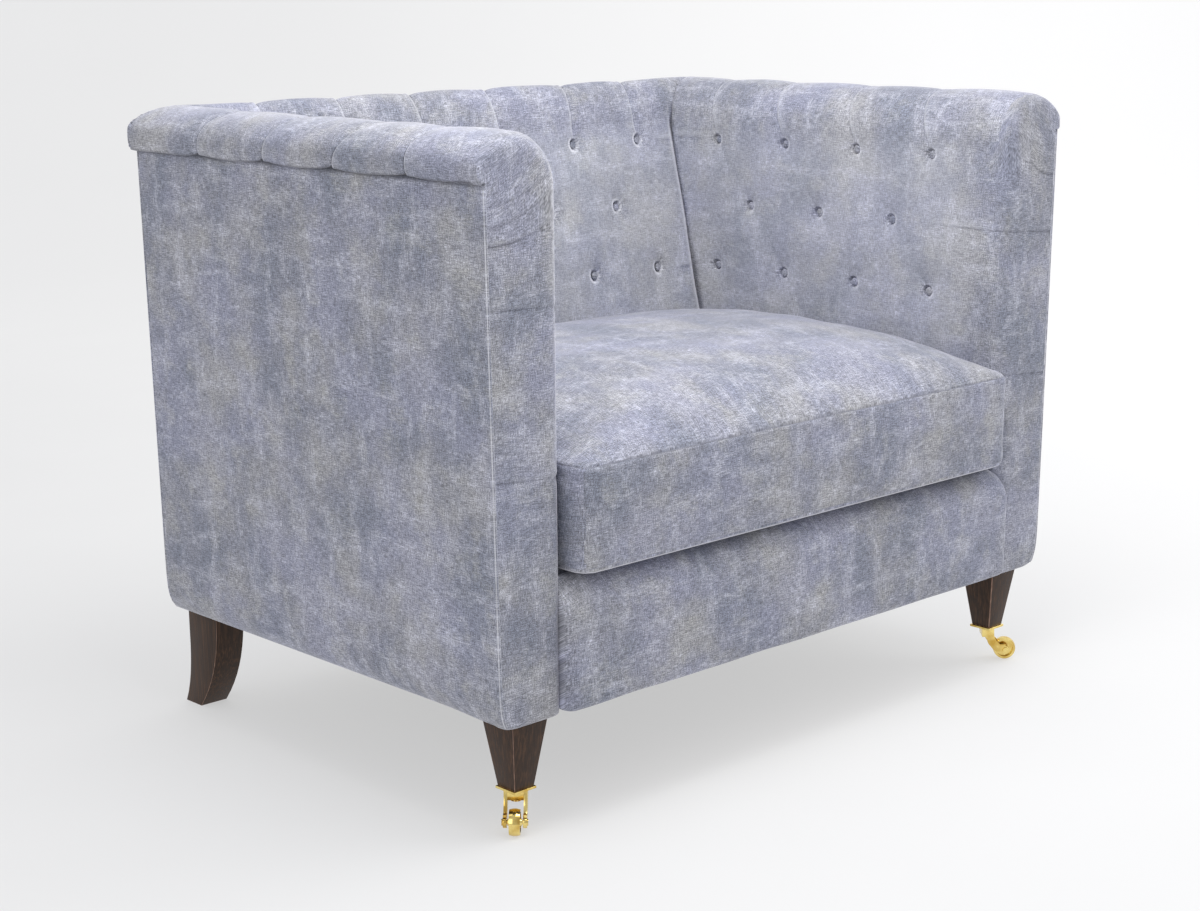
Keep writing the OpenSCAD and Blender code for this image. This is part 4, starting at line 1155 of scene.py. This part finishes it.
def buttons(name, places, facing, node, offset):
    """Domes at places in millimetres, all facing the same way."""
    bm = bmesh.new()
    turn_out = Vector((0, 0, 1)).rotation_difference(Vector(facing)).to_matrix().to_4x4()
    dome = Matrix.Diagonal((BUTTON_R*MM, BUTTON_R*MM, BUTTON_RISE*MM, 1))
    for where in places:
        at = Matrix.Translation(Vector(where)*MM) @ turn_out @ dome
        bmesh.ops.create_uvsphere(bm, u_segments=20, v_segments=10, radius=1, matrix=at)
    piece = finish_object(name, bm, velvet)
    cloth_uv(piece, round_chart, offset)
    upholster(piece, node)


for name, side, offset in (("left", -1, (5.1, 0.2)), ("right", 1, (5.3, 0.6))):
    places = [(side*(INNER_X + ARM_BUTTON_IN), u, z) for row in ARM_SPOTS[:3] for u, z in row]
    buttons(name + "_buttons", places, (-side, 0, 0), name + "_arm_buttons", offset)
lean = math.atan(BACK_SLOPE)
places = [(u, back_y(z) + BACK_BUTTON_IN*math.cos(lean), z - BACK_BUTTON_IN*math.sin(lean))
          for row in BACK_SPOTS[:3] for u, z in row]
buttons("inner_back_buttons", places, (0, -math.cos(lean), math.sin(lean)), "back_buttons", (5.5, 1.0))

# %% [markdown]
# ## Hard finishes
# Walnut-stained legs, polished brass castors, raw beech, zinc-plated springs, and the cloths that
# only show from below or with the cushion lifted.


# %% Wood
def stained_wood(tree, dark, mid, light, roughness, coat, grain_axis=2):
    """Stained hardwood: streaks along the grain 1 to 4 mm wide and a soft lacquer over them."""
    where = add(tree, "TexCoord", {}, out="Object")
    scale = [420.0, 420.0, 420.0]
    scale[grain_axis] = 14.0
    streaks = add(tree, "TexNoise", {}, Scale=1.0, Detail=5.0, Roughness=0.6,
                  Vector=add(tree, "Mapping", {}, Vector=where, Scale=scale))
    scale[grain_axis] = 60.0
    pores = add(tree, "TexNoise", {}, Scale=3.0, Detail=2.0,
                Vector=add(tree, "Mapping", {}, Vector=where, Scale=scale))
    colour = add(tree, "ValToRGB", {}, stops=[(0.0, dark), (0.55, mid), (1.0, light)],
                 Fac=add(tree, "MapRange", SMOOTH, streaks, 0.32, 0.68))
    dull = add(tree, "MapRange", SMOOTH, streaks, 0.3, 0.7,
               roughness - 0.08, roughness + 0.10)
    raised = add(tree, "MapRange", SMOOTH, pores, 0.35, 0.65)
    return dict(Base_Color=colour, Roughness=dull, Specular_IOR_Level=0.25,
                Coat_Weight=coat, Coat_Roughness=0.25,
                Normal=add(tree, "Bump", {}, Height=raised, Strength=0.12, Distance=0.0004))


walnut = new_material("stained_walnut", stained_wood, "2a1c13", "39271b", "4f3828", 0.46, 0.08)
# A paler walnut for the bevelled arrises of the legs: a painted highlight along their edges
painted_highlight_walnut = new_material("walnut_arris_painted_highlight", stained_wood, "6f5549", "86695a", "9c8070", 0.5, 0.1)
beech = [new_material("raw_beech_" + axis, stained_wood, "b58f66", "c9a57c", "d8b991", 0.6, 0.0, index)
         for index, axis in enumerate("xyz")]
print("woods: stained walnut, raw beech along", len(beech), "directions")


# %% Metals
def handled_metal(tree, colour, deep, roughness, scratch):
    """Polished or plated metal with faint handling marks that change its gloss."""
    where = add(tree, "TexCoord", {}, out="Object")
    marks = add(tree, "TexNoise", {}, Vector=where, Scale=180.0, Detail=5.0, Roughness=0.65)
    tarnish = add(tree, "TexNoise", {}, Vector=where, Scale=55.0, Detail=3.0)
    tint = add(tree, "ValToRGB", {}, stops=[(0.0, colour), (1.0, deep)],
               Fac=add(tree, "MapRange", SMOOTH, tarnish, 0.35, 0.7))
    dull = add(tree, "MapRange", SMOOTH, marks, 0.3, 0.75,
               roughness, roughness + scratch)
    return dict(Base_Color=tint, Metallic=1.0, Roughness=dull,
                Normal=add(tree, "Bump", {}, Height=marks, Strength=0.05, Distance=0.0002))


brass = new_material("polished_brass", handled_metal, "f2db8c", "cda750", 0.10, 0.14)
steel = new_material("zinc_plated_steel", handled_metal, "c3c6c9", "9fa3a7", 0.28, 0.18)
print("metals:", brass.name, steel.name)


# %% Plain cloths
def plain_weave(tree, dark, light, thread_mm, roughness):
    """A plain weave: two sets of threads as sine waves, one over the other in turn."""
    where = add(tree, "TexCoord", {}, out="Object")
    turns = math.tau/(2*thread_mm*MM)
    waves = []
    for axis in (0, 1):
        place_on = add(tree, "SeparateXYZ", {}, out=axis, Vector=where)
        angle = add(tree, "Math", TIMES, place_on, turns)
        waves.append(add(tree, "Math", {"operation": "SINE"}, angle))
    weave = add(tree, "Math", TIMES, *waves)
    uneven = add(tree, "TexNoise", {}, Vector=where, Scale=140.0, Detail=4.0)
    height = add(tree, "Math", {"operation": "ADD"},
                 add(tree, "Math", TIMES, weave, 0.35), uneven)
    colour = add(tree, "ValToRGB", {}, stops=[(0.0, dark), (1.0, light)],
                 Fac=add(tree, "MapRange", SMOOTH, height, 0.15, 0.9))
    return dict(Base_Color=colour, Roughness=roughness,
                Normal=add(tree, "Bump", {}, Height=height, Strength=0.5, Distance=0.0006))


hessian = new_material("jute_hessian", plain_weave, "8a6f4a", "c2a678", 1.6, 0.9)
lining = new_material("black_lining", plain_weave, "111214", "2a2b2e", 0.9, 0.8)
print("cloths:", hessian.name, lining.name)

# %% Finishes on the carried-over nodes
FINISHES = {"steel": steel, "jute": hessian, "lining": lining, "walnut": walnut, "brass": brass}
RUN_ALONG_Y = ("side_rail", "arm_top_rail", "arm_tack_rail", "corner")
RUN_UP = ("post", "uprights")


def set_finish(node):
    """Gives a CAD node the finish that its material slot is named for."""
    piece = bpy.data.objects[node]
    slot_name = piece.data.materials[0].name.split(".")[0]
    finish = FINISHES.get(slot_name)
    if slot_name == "beech":
        along_y, upright = (any(word in node for word in words) for words in (RUN_ALONG_Y, RUN_UP))
        finish = beech[1 if along_y else 2 if upright else 0]
    if finish:
        for material_slot in piece.material_slots:
            material_slot.material = finish
    return slot_name


counts = {}
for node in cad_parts:
    found = set_finish(node)
    counts[found] = counts.get(found, 0) + 1
print("finishes:", counts)

# %% [markdown]
# ## Deck and underside
# Under the loose cushion a pad of hessian covers the springs, and a black cloth closes the
# bottom, stapled to the rails and cut away round the legs.

# %% Deck pad
DECK_X, DECK_Y, DECK_MIDDLE, DECK_Z = 810.6, 498.6, 277.8, 301.6
DECK_STRIP = 110.0      # how far back the velvet reaches that shows under the cushion


def cloth_grid(width, depth, middle, level, steps_x, steps_y):
    """A level grid about the chair's middle plane, with its own middle at a depth."""
    bm = bmesh.new()
    bmesh.ops.create_grid(bm, x_segments=steps_x, y_segments=steps_y, size=0.5)
    for v in bm.verts:
        v.co = Vector((v.co.x*width, middle + v.co.y*depth, level))*MM
    return bm


deck = finish_object("deck_pad", cloth_grid(DECK_X, DECK_Y, DECK_MIDDLE, DECK_Z, 80, 50), hessian)
p = points(deck)
rim = np.minimum(DECK_X/2 - np.abs(p[:, 0]), DECK_Y/2 - np.abs(p[:, 1] - DECK_MIDDLE))
p[:, 2] -= 5*np.exp(-rim/4) + np.abs(unevenness(p[:, 0], p[:, 1], 0.5, 41))
put_points(deck, p)
thicken(deck, 6)
bake(deck)
deck.data.materials.append(velvet)
for face in deck.data.polygons:
    face.material_index = int(face.center.y < DECK_STRIP*MM)
cloth_uv(deck, lambda p, n: p[:, :2], (6.0, 0.5))
upholster(deck, "seat_deck")

# %% Cloth under the seat
UNDER_X, UNDER_Y = 986.0, 645.0     # it stops short of the rounded lower edges of the timber
UNDER_MIDDLE, UNDER_Z = 352.0, 141.6
# The openings for the front and the rear legs, from x to x and from y to y
LEG_CUTS = ((424.0, 482.0, 12.0, 70.0), (433.0, 479.0, 615.0, 680.0))
bm = cloth_grid(UNDER_X, UNDER_Y, UNDER_MIDDLE, UNDER_Z, 60, 40)
for x0, x1, y0, y1 in LEG_CUTS:
    lines = [((x, 0, 0), (1, 0, 0)) for x in (x0, x1, -x0, -x1)] + [((0, y, 0), (0, 1, 0)) for y in (y0, y1)]
    for co, across in lines:
        bmesh.ops.bisect_plane(bm, geom=bm.verts[:] + bm.edges[:] + bm.faces[:],
                               plane_co=Vector(co)*MM, plane_no=across)
    under_leg = [f for f in bm.faces if x0 < abs(f.calc_center_median().x)/MM < x1
                 and y0 < f.calc_center_median().y/MM < y1]
    bmesh.ops.delete(bm, geom=under_leg, context="FACES")
bmesh.ops.remove_doubles(bm, verts=bm.verts[:], dist=0.05*MM)
underside = finish_object("underside_cloth", bm, lining)
p = points(underside)
between_rails = np.clip(np.minimum(440 - np.abs(p[:, 0]), np.minimum(p[:, 1] - 55, 640 - p[:, 1]))/200, 0, 1)
p[:, 2] -= 2.5*between_rails*(2 - between_rails)
put_points(underside, p)
thicken(underside, 0.5)
bake(underside)
upholster(underside, "dust_cover")

# %% [markdown]
# ## Legs and castors with broken edges
# A cabinet maker sands every arris of a leg, and a polisher rounds the edges of a casting. The
# carried-over nodes keep sharp edges, so each gets a copy of itself whose edges are bevelled. On the legs the
# bevels are a paler walnut, a painted highlight.


# %% Legs and castors
def eased_copy(node, radius, body, finish, arris=None, pick=None, steps=3):
    """A copy of a CAD node with its sharp edges bevelled, or those that pick(middle) takes."""
    bm = bmesh.new()
    bm.from_mesh(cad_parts[node].data)
    bmesh.ops.remove_doubles(bm, verts=bm.verts[:], dist=0.02*MM)
    bmesh.ops.dissolve_limit(bm, angle_limit=math.radians(2), verts=bm.verts[:], edges=bm.edges[:])
    for face in bm.faces:
        face.material_index = 0
    sharp = [e for e in bm.edges if e.is_manifold and e.calc_face_angle() > math.radians(35)]
    if pick:
        sharp = [e for e in sharp if pick((e.verts[0].co + e.verts[1].co)/2/MM)]
    eased = round_edges(bm, sharp, radius, steps, clamp_overlap=True)
    # The bevels take the second material; on the legs that is a paler walnut, a painted highlight
    if arris:
        for face in eased:
            face.material_index = 1
    piece = finish_object(node + "_finished", bm, finish)
    if arris:
        piece.data.materials.append(arris)
    smooth_faces(piece)
    piece.data.set_sharp_from_angle(angle=math.radians(40))
    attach(piece, body)
    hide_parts(node)


def outer_foot(middle):
    """True for the edges at the outer foot of a post, which the drawn-in panels would touch."""
    return middle.z < BASE_Z + 1 and abs(middle.x) > 505


for side in ("left", "right"):
    for end in ("front", "rear"):
        eased_copy(f"{side}_{end}_leg", 1.6, "chair", walnut, painted_highlight_walnut)
    eased_copy(side + "_castor_plate", 0.7, "chair", brass)
    eased_copy(side + "_castor_horn", 0.4, side + "_castor_swivel", brass)
    for end in ("front", "rear"):
        eased_copy(f"{side}_{end}_post", 16.0, "chair", beech[2], pick=outer_foot, steps=1)
print("legs, castors and the feet of the posts eased")

# %% [markdown]
# ## Stage and light
# A pale seamless floor that curves up behind and glows a little as painted light, soft light from above and
# from the right, and a little from the left to open the shaded side, as in a daylight studio.

# %% Stage
AWAY, ACROSS = Vector((0.688, 0.726, 0)), Vector((0.726, -0.688, 0))
FLAT_END, CURVE_R = 3.2, 1.6        # metres of flat floor, and the radius of the curve behind it


def paper_with_painted_glow(tree):
    """Matt paper with a painted glow that lifts the shadow under the chair, less at the left and where it
    lies flat near the camera.
    """
    where = add(tree, "TexCoord", {}, out="Object")
    across, into = (add(tree, "VectorMath", {"operation": "DOT_PRODUCT"}, where, way, out="Value")
                    for way in (ACROSS, AWAY))
    colour = add(tree, "ValToRGB", {}, stops=[(0.0, "989898"), (1.0, "9c9c9c")],
                 Fac=add(tree, "TexNoise", {}, Vector=where, Scale=3.0, Detail=2.0))
    glow = add(tree, "ValToRGB", {}, stops=[(0.0, "c2c2c2"), (0.5, "cdcdcd"), (1.0, "d8d8d8")],
               Fac=add(tree, "MapRange", SMOOTH, across, -1.6, 1.6))
    power = add(tree, "MapRange", SMOOTH, into, 0.0, 3.4, 0.85, 1.03)
    return dict(Base_Color=colour, Emission_Color=glow, Emission_Strength=power,
                Roughness=0.9, Specular_IOR_Level=0.2)


bm = bmesh.new()
curve = [(FLAT_END + CURVE_R*math.sin(a), CURVE_R - CURVE_R*math.cos(a))
         for a in (math.radians(9*k) for k in range(11))]
first = [bm.verts.new(AWAY*d + Vector((0, 0, h)) - ACROSS*9) for d, h in [(-6, 0.0)] + curve + [(4.8, 6.0)]]
strip = [bm.edges.new(pair) for pair in zip(first, first[1:])]
out = bmesh.ops.extrude_edge_only(bm, edges=strip)["geom"]
bmesh.ops.translate(bm, verts=[v for v in out if isinstance(v, bmesh.types.BMVert)], vec=ACROSS*18)
backdrop = finish_object("backdrop", bm, new_material("pale_paper_painted_glow", paper_with_painted_glow))
smooth_faces(backdrop)
print("backdrop over", len(curve), "steps of its curve")


# %% Lights
def soft_light(name, at, towards, width, height, power):
    """A rectangle of light, sized in metres and aimed at a point, that the camera doesn't see."""
    data = bpy.data.lights.new(name, "AREA")
    data.shape = "RECTANGLE"
    data.size, data.size_y = width, height
    data.energy = power
    lamp = bpy.data.objects.new(name, data)
    lamp.location = at
    lamp.rotation_euler = (Vector(towards) - Vector(at)).to_track_quat("-Z", "Y").to_euler()
    lamp.visible_camera = False
    bpy.context.scene.collection.objects.link(lamp)


world = bpy.data.worlds.new("soft_room")
bpy.context.scene.world = world
world.use_nodes = True
fill(world.node_tree, world.node_tree.nodes["Background"], {0: linear("f6f7fc"), 1: 0.62})
soft_light("overhead", (0.3, 0.2, 3.6), (0, 0, 0.3), 4.0, 4.0, 36)
soft_light("over_seat", (-0.3, -0.45, 1.75), (0.15, 0.15, 0.55), 0.8, 0.8, 14)
soft_light("right_window", (3.4, -1.6, 2.2), (0, 0, 0.5), 2.6, 2.6, 50)
soft_light("left_fill", (-3.6, -0.8, 1.6), (0, 0, 0.5), 2.6, 2.4, 25)
bpy.context.scene.view_settings.view_transform = "Standard"
print("lights:", len(bpy.data.lights), "and the room's own")
